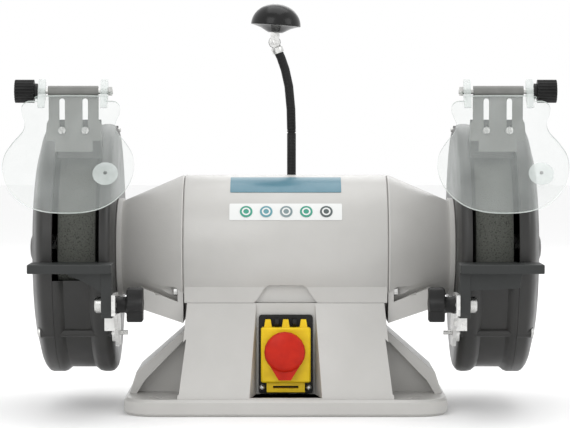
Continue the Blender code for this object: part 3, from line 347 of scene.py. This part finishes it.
# turns a bmesh into a named piece with its finish, its body and, if wanted, rounded edges
def finished(name, bm, body, slot, replaced=(), soften=0.0, segments=2, material=None, sharp=34):
    mesh = bpy.data.meshes.new(name)
    bm.to_mesh(mesh)
    bm.free()
    piece = bpy.data.objects.new(name, mesh)
    bpy.context.scene.collection.objects.link(piece)
    mesh.materials.append(material or finishes[slot])
    mesh.shade_smooth()
    if soften:
        bevel = piece.modifiers.new("soft edges", "BEVEL")
        bevel.width = soften
        bevel.segments = segments
        bevel.limit_method = "ANGLE"
        bevel.angle_limit = radians(sharp)
        bevel.harden_normals = True
    mesh.set_sharp_from_angle(angle=radians(sharp))
    if body:
        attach(piece, body)
    if replaced:
        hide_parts(*replaced)
    return piece


# a merged working copy of a CAD node, with its flat faces whole again
def copyOf(node):
    bm = bmesh.new()
    bm.from_mesh(frame["nodes"][node].data)
    bmesh.ops.remove_doubles(bm, verts=bm.verts, dist=2e-6)
    bmesh.ops.dissolve_limit(bm, angle_limit=radians(0.6), use_dissolve_boundaries=False,
                             verts=bm.verts, edges=bm.edges, delimit={"NORMAL"})
    return bm


# (place along the axis, radius) pairs spun about an axis through centre
def revolved(profile, axis="X", centre=(0, 0, 0), steps=64):
    along = "XYZ".index(axis)
    outward = 1 if along == 2 else 2
    bm = bmesh.new()
    verts = []
    for place, radius in profile:
        point = list(centre)
        point[along] += place
        point[outward] += radius
        verts.append(bm.verts.new(point))
    pairs = list(zip(verts, verts[1:]))
    if profile[0][1] or profile[-1][1]:
        pairs.append((verts[-1], verts[0]))
    edges = [bm.edges.new(pair) for pair in pairs]
    direction = [float(i == along) for i in range(3)]
    bmesh.ops.spin(bm, geom=verts + edges, cent=centre, axis=direction, dvec=(0, 0, 0), angle=2 * pi,
                   steps=steps, use_merge=True)
    return cleaned(bm)


def roundBar(low, high, radius, axis="X", centre=(0, 0, 0), steps=24, soften=0.0):
    if soften:
        profile = [(low, 0), (low, radius - soften), (low + soften * 0.3, radius - soften * 0.3),
                   (low + soften, radius), (high - soften, radius),
                   (high - soften * 0.3, radius - soften * 0.3), (high, radius - soften), (high, 0)]
    else:
        profile = [(low, 0), (low, radius), (high, radius), (high, 0)]
    return revolved(profile, axis, centre, steps)


# a flat outline pushed along an axis, with its rims rounded if asked
def slab(outline, low, high, axis="Y", soften=0.0, segments=3):
    across, up, along = axisPlaces[axis]
    bm = bmesh.new()
    verts = []
    for u, v in outline:
        point = [0.0, 0.0, 0.0]
        point[across] = u
        point[up] = v
        point[along] = low
        verts.append(bm.verts.new(point))
    face = bm.faces.new(verts)
    pushed = [made for made in bmesh.ops.extrude_face_region(bm, geom=[face])["geom"]
              if isinstance(made, bmesh.types.BMVert)]
    push = [0.0, 0.0, 0.0]
    push[along] = high - low
    bmesh.ops.translate(bm, vec=push, verts=pushed)
    cleaned(bm)
    if soften:
        rims = [edge for edge in bm.edges
                if abs(edge.verts[0].co[along] - edge.verts[1].co[along]) < 1e-7]
        bmesh.ops.bevel(bm, geom=rims, offset=soften, segments=segments, profile=0.5, affect="EDGES",
                        material=-1, clamp_overlap=True)
    return bm


def block(low, high, soften=0.0):
    return slab([(low[0], low[1]), (high[0], low[1]), (high[0], high[1]), (low[0], high[1])],
                low[2], high[2], "Z", soften)


def roundedBox(across, up, radius, middle=(0, 0), steps=8):
    outline = []
    for corner, (su, sv) in enumerate(((1, 1), (-1, 1), (-1, -1), (1, -1))):
        for step in range(steps + 1):
            angle = pi / 2 * (corner + step / steps)
            outline.append((middle[0] + su * (across / 2 - radius) + radius * cos(angle),
                            middle[1] + sv * (up / 2 - radius) + radius * sin(angle)))
    return outline


# a closed smooth outline through the points
def curveThrough(points, each=6):
    found = []
    count = len(points)
    for i in range(count):
        before, here, after, beyond = (Vector(points[(i + k) % count]) for k in (-1, 0, 1, 2))
        for step in range(each):
            t = step / each
            found.append(0.5 * (2 * here + (after - before) * t
                                + (2 * before - 5 * here + 4 * after - beyond) * t * t
                                + (3 * here - before - 3 * after + beyond) * t ** 3))
    return [(point.x, point.y) for point in found]


# adds the other shells to the first; each stays a closed shell of its own
def together(target, *others):
    for other in others:
        mesh = bpy.data.meshes.new("scratch")
        other.to_mesh(mesh)
        other.free()
        target.from_mesh(mesh)
        bpy.data.meshes.remove(mesh)
    return target


# joins or cuts real solids, one after another, and gives back one clean bmesh
def shaped(start, *steps):
    scratch = []
    mesh = bpy.data.meshes.new("scratch")
    start.to_mesh(mesh)
    start.free()
    target = bpy.data.objects.new("scratch", mesh)
    bpy.context.scene.collection.objects.link(target)
    scratch.append(target)
    for operation, tool in steps:
        toolMesh = bpy.data.meshes.new("scratch")
        tool.to_mesh(toolMesh)
        tool.free()
        helper = bpy.data.objects.new("scratch", toolMesh)
        bpy.context.scene.collection.objects.link(helper)
        scratch.append(helper)
        modifier = target.modifiers.new("shape", "BOOLEAN")
        modifier.operation = operation
        modifier.solver = "EXACT"
        modifier.object = helper
    found = bmesh.new()
    found.from_object(target, bpy.context.evaluated_depsgraph_get())
    for helper in scratch:
        data = helper.data
        bpy.data.objects.remove(helper)
        bpy.data.meshes.remove(data)
    bmesh.ops.remove_doubles(found, verts=found.verts, dist=2e-6)
    bmesh.ops.dissolve_degenerate(found, dist=2e-6, edges=found.edges)
    return found


def moved(bm, matrix):
    bmesh.ops.transform(bm, matrix=matrix, verts=bm.verts)
    return bm


# a profile or outline given for the right side, put on the asked side
def sided(side, pairs):
    return [(side * along, other) for along, other in pairs]


# two places on the asked side, lowest first
def span(side, first, second):
    return sorted((side * first, side * second))


softening = {"pedestal": 0.0016, "motor_housing": 0.0010, "base_cover": 0.0004, "end_bell": 0.0010,
             "guard_body": 0.0009, "guard_cover": 0.0009, "rest_bracket": 0.0005, "tool_rest": 0.0008,
             "spark_arrester": 0.0005, "wheel_nut": 0.0006, "switch_plate": 0.0005}


# carries a CAD node's own shape over with softened edges
def refine(node):
    width = next((softening[key] for key in softening if node.startswith(key)), 0.0003)
    return finished(f"{node}_fine", copyOf(node), bodyOf[node], slotOf[node], (node,), width)


handMade = set()
shaftLine = (0, 0, shaftHeight)


# end bells and motor housing, one family of turned castings
motorLook = dict(radius=0.080, half=0.110, wall=0.008, seam=0.0015, steps=112, footHalf=0.070,
                 footLow=0.1173, footTop=0.136, boltX=0.106, boltY=0.062, boltZ=0.129, boltHole=0.0028,
                 boltHoleHalf=0.0061, duct=0.008)


def makeMotor():
    look = motorLook
    half, radius, wall = look["half"], look["radius"], look["wall"]
    inner = radius - wall
    rim = look["seam"]
    profile = [(-half, inner), (-half, radius - rim), (-half + rim * 0.4, radius - rim * 0.3),
               (-half + rim, radius), (half - rim, radius), (half - rim * 0.4, radius - rim * 0.3),
               (half, radius - rim), (half, inner)]
    ring = revolved(profile, "X", shaftLine, look["steps"])
    foot = block((-half + 0.001, -look["footHalf"], look["footLow"]),
                 (half - 0.001, look["footHalf"], look["footTop"]))
    bore = roundBar(-0.13, 0.13, inner, "X", shaftLine, look["steps"])
    scoop = slab([(-0.035, 0.116), (0.035, 0.116), (0.030, 0.122), (0.0225, 0.1335), (0.018, 0.1365),
                  (-0.018, 0.1365), (-0.0225, 0.1335), (-0.030, 0.122)], -0.071, -0.0655, "Y")
    duct = roundBar(0.083, 0.113, look["duct"], "Z", (0, 0, 0), 24)
    steps = [("UNION", foot), ("DIFFERENCE", bore), ("DIFFERENCE", scoop), ("DIFFERENCE", duct)]
    for x in (-look["boltX"], look["boltX"]):
        for y in (-look["boltY"], look["boltY"]):
            steps.append(("DIFFERENCE", roundBar(x - look["boltHoleHalf"], x + look["boltHoleHalf"],
                                                 look["boltHole"], "X", (0, y, look["boltZ"]), 12)))
    housing = shaped(ring, *steps)
    finished("motor_housing_cast", housing, "root", "light_cast", ("motor_housing",), 0.0011, 3)


bellLook = dict(start=0.1103, end=0.184, endRadius=0.0515, ringRadius=0.0545, ringStart=0.178,
                keelHalf=0.066, keelEnd=0.156, keelLow=0.095, keelHigh=0.118, earTop=0.137, rise=0.0155,
                headPocket=0.0056, steps=112)


def makeBell(name, side):
    look = bellLook
    start, end, ring = look["start"], look["end"], look["ringStart"]
    profile = [(start, 0.0785), (start + 0.0006, 0.0796), (start + 0.0015, 0.080), (ring, look["endRadius"]),
               (ring, look["ringRadius"]), (end - 0.001, look["ringRadius"]),
               (end, look["ringRadius"] - 0.001),
               (end, 0.0165), (end - 0.003, 0.0165), (end - 0.003, 0.0263), (end - 0.0183, 0.0263),
               (end - 0.0183, 0.0323), (end - 0.013, 0.0323), (end - 0.013, 0.0455), (start, 0.072)]
    cone = revolved(sided(side, profile), "X", shaftLine, look["steps"])
    ear = start + 0.006
    low, high, rise = look["keelLow"], look["keelHigh"], look["rise"]
    keel = slab(sided(side, [(start, low), (look["keelEnd"], low + rise), (look["keelEnd"], high + rise),
                             (ear, high), (ear, look["earTop"]), (start, look["earTop"])]),
                -look["keelHalf"], look["keelHalf"], "Y")
    cavity = revolved(sided(side, [(start - 0.001, 0), (start - 0.001, 0.072), (end - 0.013, 0.0455),
                                   (end - 0.013, 0)]), "X", shaftLine, look["steps"])
    steps = [("UNION", keel), ("DIFFERENCE", cavity)]
    for y in (-motorLook["boltY"], motorLook["boltY"]):
        place = (0, y, motorLook["boltZ"])
        ends = span(side, start - 0.001, start + 0.03)
        steps.append(("DIFFERENCE", roundBar(*ends, motorLook["boltHole"], "X", place, 12)))
        ends = span(side, ear, start + 0.03)
        steps.append(("DIFFERENCE", roundBar(*ends, look["headPocket"], "X", place, 24)))
    finished(f"end_bell_{name}_cast", shaped(cone, *steps), "root", "light_cast",
             (f"end_bell_{name}",), 0.0010, 3)


# guard shell, its lug for the arrester and its three bolt bosses
guardLook = dict(wall=0.1843, seam=0.2450, radius=0.136, band=0.131, sheet=0.0035, hub=0.020, steps=128,
                 boltReach=0.1305, boltAngles=(82, 220.6, 328), boltHole=0.0028, boss=0.0046,
                 mouthStart=0.1958, mouthLow=-0.028, mouthHigh=0.107, arresterX=0.225, screwGap=0.01225,
                 screwRise=0.1295, screwHole=0.0023)


def guardBoltPlaces():
    reach = guardLook["boltReach"]
    return [(0, reach * cos(radians(angle)), shaftHeight + reach * sin(radians(angle)))
            for angle in guardLook["boltAngles"]]


def makeGuard(name, side):
    look = guardLook
    wall, seam, radius, band = look["wall"], look["seam"], look["radius"], look["band"]
    inner = band - look["sheet"]
    profile = [(wall, radius - 0.006), (wall + 0.0015, radius - 0.0035), (wall + 0.004, radius - 0.001),
               (wall + 0.008, radius), (wall + 0.013, radius), (wall + 0.018, radius - 0.001),
               (wall + 0.0205, radius - 0.003), (wall + 0.023, band), (seam - 0.011, band),
               (seam - 0.0085, radius - 0.003), (seam - 0.006, radius - 0.001), (seam - 0.003, radius),
               (seam, radius), (seam, inner), (wall + look["sheet"], inner),
               (wall + look["sheet"], look["hub"]), (wall, look["hub"])]
    shell = revolved(sided(side, profile), "X", shaftLine, look["steps"])
    mouth = span(side, look["mouthStart"], 0.256)
    steps = [("DIFFERENCE", block((mouth[0], -0.15, shaftHeight + look["mouthLow"]),
                                  (mouth[1], -0.055, shaftHeight + look["mouthHigh"])))]
    lug = [(-0.092, 0.100), (-0.092, 0.141), (-0.088, 0.141), (-0.0585, 0.1145), (-0.0735, 0.1060),
           (-0.088, 0.100)]
    lug = [(y, z + shaftHeight) for y, z in lug]
    steps.append(("UNION", slab(lug, *span(side, 0.196, 0.242), "X")))
    for offset in (-look["screwGap"], look["screwGap"]):
        place = (side * look["arresterX"] + offset, 0, shaftHeight + look["screwRise"])
        steps.append(("DIFFERENCE", roundBar(-0.093, -0.081, look["screwHole"], "Y", place, 12)))
    for place in guardBoltPlaces():
        ends = span(side, wall + 0.001, seam - 0.0001)
        steps.append(("UNION", roundBar(*ends, look["boss"], "X", place, 20)))
        ends = span(side, wall - 0.001, seam + 0.001)
        steps.append(("DIFFERENCE", roundBar(*ends, look["boltHole"], "X", place, 12)))
    finished(f"guard_body_{name}_pressed", shaped(shell, *steps), "root", "dark_paint",
             (f"guard_body_{name}",), 0.0007, 3)


# cast outer cover with its shallow dome
coverLook = dict(seam=0.2453, face=0.269, dome=0.281, domeRadius=0.043, wall=0.003, bossDepth=0.015,
                 boss=0.0058, spotFace=0.0056, steps=128)


def makeCover(name, side):
    look = coverLook
    seam, face, dome = look["seam"], look["face"], look["dome"]
    radius, wall = guardLook["radius"], look["wall"]
    outer = [(seam, radius), (seam + 0.009, radius), (seam + 0.0115, radius - 0.0010),
             (seam + 0.0135, radius - 0.003), (seam + 0.0158, radius - 0.0062),
             (seam + 0.0175, radius - 0.010), (face - 0.0042, radius - 0.0180),
             (face - 0.003, radius - 0.023), (face - 0.0008, radius - 0.031), (face, radius - 0.036),
             (face, look["domeRadius"]), (face + 0.0012, 0.036), (face + 0.0045, 0.025),
             (face + 0.0072, 0.0195), (face + 0.009, 0.0165), (dome - 0.0018, 0.0125),
             (dome - 0.0008, 0.010), (dome - 0.0002, 0.005), (dome, 0)]
    inner = [(dome - wall, 0), (dome - wall - 0.001, 0.0105), (face - wall + 0.0045, 0.024),
             (face - wall, 0.040), (face - wall, radius - 0.037), (face - wall - 0.0035, radius - 0.026),
             (seam + 0.013, radius - 0.013), (seam + 0.008, 0.1275), (seam, 0.1275)]
    shell = revolved(sided(side, outer[::-1] + inner[::-1]), "X", shaftLine, look["steps"])
    bossEnd = seam + look["bossDepth"]
    hole = guardLook["boltHole"]
    steps = []
    for place in guardBoltPlaces():
        for operation, low, high, size in (("UNION", seam + 0.0003, bossEnd, look["boss"]),
                                           ("DIFFERENCE", seam - 0.001, bossEnd + 0.02, hole),
                                           ("DIFFERENCE", bossEnd, bossEnd + 0.02, look["spotFace"])):
            steps.append((operation, roundBar(*span(side, low, high), size, "X", place, 20)))
    finished(f"guard_cover_{name}_cast", shaped(shell, *steps), "root", "dark_paint",
             (f"guard_cover_{name}",), 0.0006, 2)


# grinding wheels
wheelLook = dict(inner=0.200, outer=0.240, radius=0.125, bore=0.0101, corner=0.0012, steps=160)


def makeWheel(name, side):
    look = wheelLook
    inner, outer, radius, corner = look["inner"], look["outer"], look["radius"], look["corner"]
    profile = [(inner, look["bore"]), (inner, radius - corner), (inner + corner * 0.3, radius - corner * 0.3),
               (inner + corner, radius), (inner + 0.014, radius), (outer - 0.014, radius),
               (outer - corner, radius),
               (outer - corner * 0.3, radius - corner * 0.3), (outer, radius - corner), (outer, look["bore"])]
    bm = revolved(sided(side, profile), "X", shaftLine, look["steps"])
    finished(f"wheel_{name}_stone", bm, "rotor", "stone", (f"wheel_{name}",))


makeMotor()
for name, side in sides:
    makeBell(name, side)
    makeGuard(name, side)
    makeCover(name, side)
    makeWheel(name, side)
handMade.add("motor_housing")
for name, side in sides:
    handMade.update(f"{stem}_{name}" for stem in ("end_bell", "guard_body", "guard_cover", "wheel"))
print("motor, guards and wheels shaped")


# clear eye shields: sheet, pale sawn edge, hinge lugs and a magnifying lens
shieldLook = dict(x=0.2265, rodY=-0.0985, rodZ=0.344, tilt=-29, front=-0.005, back=-0.002, rodRadius=0.0033,
                  lensX=0.039, lensZ=-0.101, lensRadius=0.0133, lugX=0.033)
shieldMarks = [(0.034, 0.0078), (0.0350, 0.0135), (0.046, 0.0145), (0.0516, 0.0200), (0.0513, 0.029),
               (0.0477, 0.040), (0.0495, 0.051), (0.0590, 0.064), (0.0670, 0.079), (0.0683, 0.096),
               (0.0637, 0.113), (0.054, 0.1275), (0.040, 0.1385), (0.022, 0.1447)]


def makeShield(name, side):
    look = shieldLook
    middle = side * look["x"]
    outline = [(u, -v) for u, v in shieldMarks] + [(0.0, -0.1463)]
    outline += [(-u, -v) for u, v in reversed(shieldMarks)]
    smooth = [(middle + u, v) for u, v in curveThrough(outline, 5)]
    hinge = (0, look["rodY"], look["rodZ"])
    place = Matrix.Translation(hinge) @ Matrix.Rotation(radians(look["tilt"]), 4, "X")
    sheet = moved(slab(smooth, look["front"], look["back"], "Y", 0.0005, 2), place)
    knuckle = side * guardLook["arresterX"]
    lugs = []
    for x in (knuckle - look["lugX"], knuckle + look["lugX"]):
        profile = [(-0.0050, -0.0215), (-0.0020, -0.0215), (0.0015, -0.0135), (0.0058, -0.0080),
                   (0.0062, 0.0), (0.0052, 0.0085), (0.0020, 0.0125), (-0.0030, 0.0128),
                   (-0.0066, 0.0080), (-0.0072, 0.0), (-0.0068, -0.0120)]
        lug = slab(profile, x - 0.0038, x + 0.0038, "X", 0.0006, 2)
        lugs.append(moved(lug, place))
    rod = roundBar(knuckle - 0.06, knuckle + 0.06, look["rodRadius"], "X", hinge, 24)
    lug = shaped(together(*lugs), ("DIFFERENCE", rod))
    body = f"eye_shield_{name}"
    panel = finished(f"eye_shield_{name}_sheet", sheet, body, "clear_plastic", (f"eye_shield_{name}",))
    panel.data.materials.append(acrylicEdge)
    facing = place.to_3x3() @ Vector((0, 1, 0))
    for polygon in panel.data.polygons:
        polygon.material_index = int(abs(polygon.normal.dot(facing)) < 0.9)
    finished(f"shield_lugs_{name}", lug, body, "clear_plastic", material=clearLug)
    lens = revolved([(-0.0072, 0.0), (-0.0071, 0.0040), (-0.0066, 0.0085), (-0.0058, 0.0118),
                     (-0.0053, look["lensRadius"]), (-0.0051, look["lensRadius"])], "Y",
                    (middle + look["lensX"], 0, look["lensZ"]), 48)
    finished(f"magnifier_{name}", moved(lens, place), body, "clear_plastic", material=clearLug)


# ribbed clamp knob, rod and nut on each shield's hinge line
shieldKnobLook = dict(middle=0.225, reach=0.0373, radius=0.0123, ribs=22, depth=0.0011, rod=0.0029,
                      nut=0.0054)


def makeShieldKnob(name, side):
    look = shieldKnobLook
    inner = look["middle"] - look["reach"]
    outer = look["middle"] + look["reach"]
    centre = (0, shieldLook["rodY"], shieldLook["rodZ"])
    ribbed = []
    for i in range(look["ribs"] * 4):
        angle = 2 * pi * i / (look["ribs"] * 4)
        radius = look["radius"] - (look["depth"] if i % 4 in (2, 3) else 0)
        ribbed.append((centre[1] + radius * cos(angle), centre[2] + radius * sin(angle)))
    grip = slab(ribbed, *span(side, outer + 0.0038, outer + 0.0242), "X", 0.0005, 2)
    collarEnds = span(side, outer + 0.0002, outer + 0.0042)
    collar = roundBar(*collarEnds, 0.0083, "X", centre, 32, 0.0006)
    cap = roundBar(*span(side, outer + 0.0238, outer + 0.0245), 0.0085, "X", centre, 32)
    rod = roundBar(*span(side, inner - 0.0046, outer + 0.004), look["rod"], "X", centre, 24)
    nutSides = [(centre[1] + look["nut"] * cos(i * pi / 3), centre[2] + look["nut"] * sin(i * pi / 3))
                for i in range(6)]
    nut = slab(nutSides, *span(side, inner - 0.0040, inner), "X", 0.0004, 2)
    body = f"shield_knob_{name}"
    finished(f"shield_knob_{name}_grip", together(grip, collar, cap), body, "black_plastic", (body,))
    finished(f"shield_rod_{name}", together(rod, nut), body, "steel")


# lobed clamp knobs under the rests
restKnobLook = dict(y=-0.157, z=0.122, inner=0.1482, outer=0.1648, lobes=6, radius=0.0173, wave=0.0023)


def makeRestKnob(name, side):
    look = restKnobLook
    outline = []
    for i in range(96):
        angle = 2 * pi * i / 96
        radius = look["radius"] + look["wave"] * cos(look["lobes"] * angle)
        outline.append((look["y"] + radius * cos(angle), look["z"] + radius * sin(angle)))
    centre = (0, look["y"], look["z"])
    grip = slab(outline, *sorted((side * look["inner"], side * look["outer"])), "X", 0.0018, 4)
    neck = revolved(sided(side, [(0.1640, 0.0043), (0.1640, 0.0105), (0.1652, 0.0090),
                                 (0.1668, 0.0083), (0.1712, 0.0083), (0.1735, 0.0090),
                                 (0.1753, 0.0094), (0.1753, 0.0043)]), "X", centre, 48)
    cap = revolved(sided(side, [(0.1481, 0.0), (0.1481, 0.0085), (0.1490, 0.0098)]), "X", centre, 48)
    finished(f"rest_knob_{name}_lobed", together(grip, neck, cap), f"rest_knob_{name}", "black_plastic",
             (f"rest_knob_{name}",))


# lamp: bent sleeve over both parts of the neck, knuckle, boss, shade and fork
lampLook = dict(x=0.0065, y=0.068, radius=0.0046, rib=0.0004, pitch=0.0034, bend=0.300, blendHalf=0.030,
                headX=-0.0125, headZ=0.4005, shade=0.028, rim=0.0185, lean=4)
neckRoute = [(0.0065, 0.2400), (0.0065, 0.2700), (0.0065, 0.3003), (0.0059, 0.3250), (0.0035, 0.3510),
             (-0.0007, 0.3700), (-0.0052, 0.3830), (-0.0100, 0.3930)]


def neckPoint(height):
    for (x0, z0), (x1, z1) in zip(neckRoute, neckRoute[1:]):
        if height <= z1:
            break
    return x0 + (x1 - x0) * (height - z0) / (z1 - z0)


def makeLamp():
    look = lampLook
    bm = bmesh.new()
    steps = 24
    height = neckRoute[0][1]
    rings = []
    while height < neckRoute[-1][1]:
        phase = (height / look["pitch"]) % 1.0
        radius = look["radius"] + (look["rib"] if phase < 0.62 else -look["rib"])
        ahead = neckPoint(height + 0.002) - neckPoint(height - 0.002)
        turn = (Matrix.Translation((neckPoint(height), look["y"], height))
                @ Matrix.Rotation(atan2(ahead, 0.004), 4, "Y"))
        made = bmesh.ops.create_circle(bm, cap_ends=False, segments=steps, radius=radius, matrix=turn)
        rings.append(made["verts"])
        height += look["pitch"] / 5
    for lower, upper in zip(rings, rings[1:]):
        for k in range(steps):
            bm.faces.new((lower[k], lower[(k + 1) % steps], upper[(k + 1) % steps], upper[k]))
    bm.faces.new(rings[0])
    bm.faces.new(rings[-1])
    sleeve = finished("gooseneck_sleeve", cleaned(bm), None, "black_neck", sharp=60)
    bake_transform(sleeve)
    boss = revolved([(-0.0010, 0.0), (-0.0010, 0.0113), (0.0080, 0.0113), (0.0125, 0.0105), (0.0160, 0.0092),
                     (0.0165, 0.0080), (0.0250, 0.0077), (0.0256, 0.0068), (0.0256, 0.0)], "Z",
                    (look["x"], look["y"], 0.2145), 48)
    finished("lamp_boss", boss, "root", "black_plastic")
    head = (Matrix.Translation((look["headX"], look["y"], look["headZ"]))
            @ Matrix.Rotation(radians(look["lean"]), 4, "Y"))
    rim = look["rim"]
    wide = look["shade"]
    dome = [(rim + 0.0245 * sin(radians(a)), wide * cos(radians(a)) ** 0.92) for a in range(4, 90, 7)]
    profile = [(0.0108, 0.0), (0.0108, 0.0080), (0.0125, 0.0112), (0.0158, 0.0170), (rim - 0.0006, 0.0235),
               (rim + 0.0003, 0.0262), (rim + 0.0003, wide - 0.0004), (rim + 0.0010, wide)]
    shade = revolved(profile + dome + [(rim + 0.0248, 0.0)], "Z", (0, 0, 0), 80)
    finished("lamp_shade_dome", moved(shade, head), "lamp_head", "gloss_black", ("lamp_shade",), sharp=50)
    forks = []
    for y in (-0.0055, 0.0055):
        outline = roundedBox(0.0100, 0.0150, 0.0034, (0.0, 0.0052))
        forks.append(slab(outline, y - 0.0016, y + 0.0016, "Y", 0.0005, 2))
    forks.append(roundBar(-0.0079, 0.0079, 0.0024, "Y", (0, 0, 0), 20, 0.0006))
    finished("lamp_fork", moved(together(*forks), head), "lamp_head", "zinc")
    ball = roundBar(-0.0034, 0.0034, 0.0066, "Y", (look["headX"], look["y"], look["headZ"]), 40, 0.0008)
    collar = revolved([(-0.0132, 0.0), (-0.0132, 0.0060), (-0.0120, 0.0066), (-0.0068, 0.0066),
                       (-0.0056, 0.0056), (-0.0050, 0.0)], "Z", (0, 0, 0), 32)
    turn = (Matrix.Translation((look["headX"], look["y"], look["headZ"]))
            @ Matrix.Rotation(radians(-20), 4, "Y"))
    finished("lamp_knuckle", together(ball, moved(collar, turn)), "lamp_neck", "zinc")


# blank name plate and label plate, bent to the motor's round front
plateLook = dict(radius=0.0803, sunk=0.0003, thick=0.0006, nameHalf=0.060, nameLow=51, nameHigh=75,
                 labelHalf=0.0605, labelLow=24.5, labelHigh=39, markAngle=31.6, markStart=-0.0425,
                 markPitch=0.0215, markRadius=0.0068)


def bentPlate(name, low, high, left, right, material, soften):
    radius = plateLook["radius"] - plateLook["sunk"]
    bm = bmesh.new()
    outline = roundedBox(right - left, radians(high - low) * radius, soften,
                         ((left + right) / 2, radians(low + high) / 2 * radius), 6)
    verts = [bm.verts.new((u, v, 0)) for u, v in outline]
    bm.faces.new(verts)
    for angle in range(int(low) + 1, int(high) + 1):
        bmesh.ops.bisect_plane(bm, geom=bm.verts[:] + bm.edges[:] + bm.faces[:],
                               plane_co=(0, radians(angle) * radius, 0), plane_no=(0, 1, 0))
    pushed = [made for made in bmesh.ops.extrude_face_region(bm, geom=bm.faces[:])["geom"]
              if isinstance(made, bmesh.types.BMVert)]
    bmesh.ops.translate(bm, vec=(0, 0, plateLook["thick"]), verts=pushed)
    for vert in bm.verts:
        angle = vert.co.y / radius
        reach = radius + vert.co.z
        vert.co = Vector((vert.co.x, -reach * cos(angle), shaftHeight + reach * sin(angle)))
    return finished(name, cleaned(bm), "root", "grey_plate", material=material)


def makePlates():
    look = plateLook
    bentPlate("name_plate_blank", look["nameLow"], look["nameHigh"], -look["nameHalf"],
              look["nameHalf"], plateBlue, 0.0012)
    bentPlate("label_plate_blank", look["labelLow"], look["labelHigh"], -look["labelHalf"],
              look["labelHalf"], labelPale, 0.0015)
    angle = radians(look["markAngle"])
    reach = look["radius"] + 0.0002
    for i, paint in enumerate((labelGreen, labelTeal, labelGrey, labelGreen, labelInk)):
        x = look["markStart"] + i * look["markPitch"]
        turn = (Matrix.Translation((x, -reach * cos(angle), shaftHeight + reach * sin(angle)))
                @ Matrix.Rotation(-angle, 4, "X"))
        disc = roundBar(-0.0005, 0.0001, look["markRadius"], "Y", (0, 0, 0), 40)
        mark = revolved([(-0.0008, 0.0030), (-0.0008, 0.0046), (-0.0002, 0.0046), (-0.0002, 0.0030)],
                        "Y", (0, 0, 0), 32)
        finished(f"label_mark_{i + 1}", moved(disc, turn), "root", "grey_plate", material=paint)
        finished(f"label_ring_{i + 1}", moved(mark, turn), "root", "grey_plate", material=labelPale)


# crossed screws at the switch plate's lower corners
screwLook = dict(places=(-0.0255, 0.0245), height=0.0262, crossLong=0.0019, crossThin=0.0004)


def makeHardware():
    look = screwLook
    height = look["height"]
    for index, x in enumerate(look["places"]):
        head = revolved([(-0.0755, 0.0), (-0.0752, 0.0016), (-0.0742, 0.0030), (-0.0732, 0.0034),
                         (-0.0728, 0.0034), (-0.0728, 0.0)], "Y", (x, 0, height), 24)
        cross = []
        for w, h in ((look["crossLong"], look["crossThin"]), (look["crossThin"], look["crossLong"])):
            cross.append(("DIFFERENCE", block((x - w, -0.077, height - h), (x + w, -0.0746, height + h))))
        finished(f"switch_screw_{index + 1}", shaped(head, *cross), "root", "zinc")


for name, side in sides:
    makeShield(name, side)
    makeShieldKnob(name, side)
    makeRestKnob(name, side)
    handMade.update(f"{stem}_{name}" for stem in ("eye_shield", "shield_knob", "rest_knob"))
handMade.add("lamp_shade")
makeLamp()
makePlates()
makeHardware()
print("shields, knobs, lamp and plates shaped")

stayingNodes = [node for node in frame["nodes"] if node not in handMade]
for node in stayingNodes:
    refine(node)
print("carried over:", len(stayingNodes))


sceneLook = dict(floor=(0.93, 0.93, 0.93), world=(1.0, 1.0, 1.0), worldStrength=1.0, cameraY=-2.7,
                 cameraZ=0.323, cameraX=-0.0008, cameraTilt=87.6, lens=155.0)


def floorPaint():
    paint = Paint("pale studio floor", sceneLook["floor"], 0.75)
    speckle = paint.noise(0.004, 3.0)
    paint.put("Roughness", 0.7 + speckle * 0.1)
    return paint.material


def softLight(name, place, target, size, power, height=None):
    data = bpy.data.lights.new(name, "AREA")
    data.shape = "RECTANGLE"
    data.size = size
    data.size_y = height or size
    data.energy = power
    lamp = bpy.data.objects.new(name, data)
    lamp.location = place
    lamp.rotation_euler = (Vector(target) - Vector(place)).to_track_quat("-Z", "Y").to_euler()
    bpy.context.scene.collection.objects.link(lamp)
    return lamp


floorMesh = bpy.data.meshes.new("studio_floor")
floorBm = bmesh.new()
bmesh.ops.create_grid(floorBm, x_segments=1, y_segments=1, size=8.0)
floorBm.to_mesh(floorMesh)
floorBm.free()
floor = bpy.data.objects.new("studio_floor", floorMesh)
floor.data.materials.append(floorPaint())
bpy.context.scene.collection.objects.link(floor)

world = bpy.data.worlds.new("soft studio")
world.use_nodes = True
world.node_tree.nodes["Background"].inputs["Color"].default_value = (*sceneLook["world"], 1)
world.node_tree.nodes["Background"].inputs["Strength"].default_value = sceneLook["worldStrength"]
bpy.context.scene.world = world
softLight("front softbox", (-1.1, -2.2, 1.7), (0, 0, 0.18), 1.6, 14)
softLight("side softbox", (2.0, -0.9, 1.2), (0, 0, 0.18), 1.2, 7)
softLight("top softbox", (0.1, 0.3, 2.2), (0, 0, 0.1), 1.8, 14)
softLight("back softbox", (0.3, 2.4, 1.6), (0, 0, 0.2), 1.6, 8)

cameraData = bpy.data.cameras.new("studio camera")
cameraData.lens = sceneLook["lens"]
cameraData.sensor_width = 36.0
camera = bpy.data.objects.new("studio camera", cameraData)
camera.location = (sceneLook["cameraX"], sceneLook["cameraY"], sceneLook["cameraZ"])
camera.rotation_euler = (radians(sceneLook["cameraTilt"]), 0, 0)
bpy.context.scene.collection.objects.link(camera)
bpy.context.scene.camera = camera
bpy.context.scene.view_settings.view_transform = "Standard"
print("studio ready")
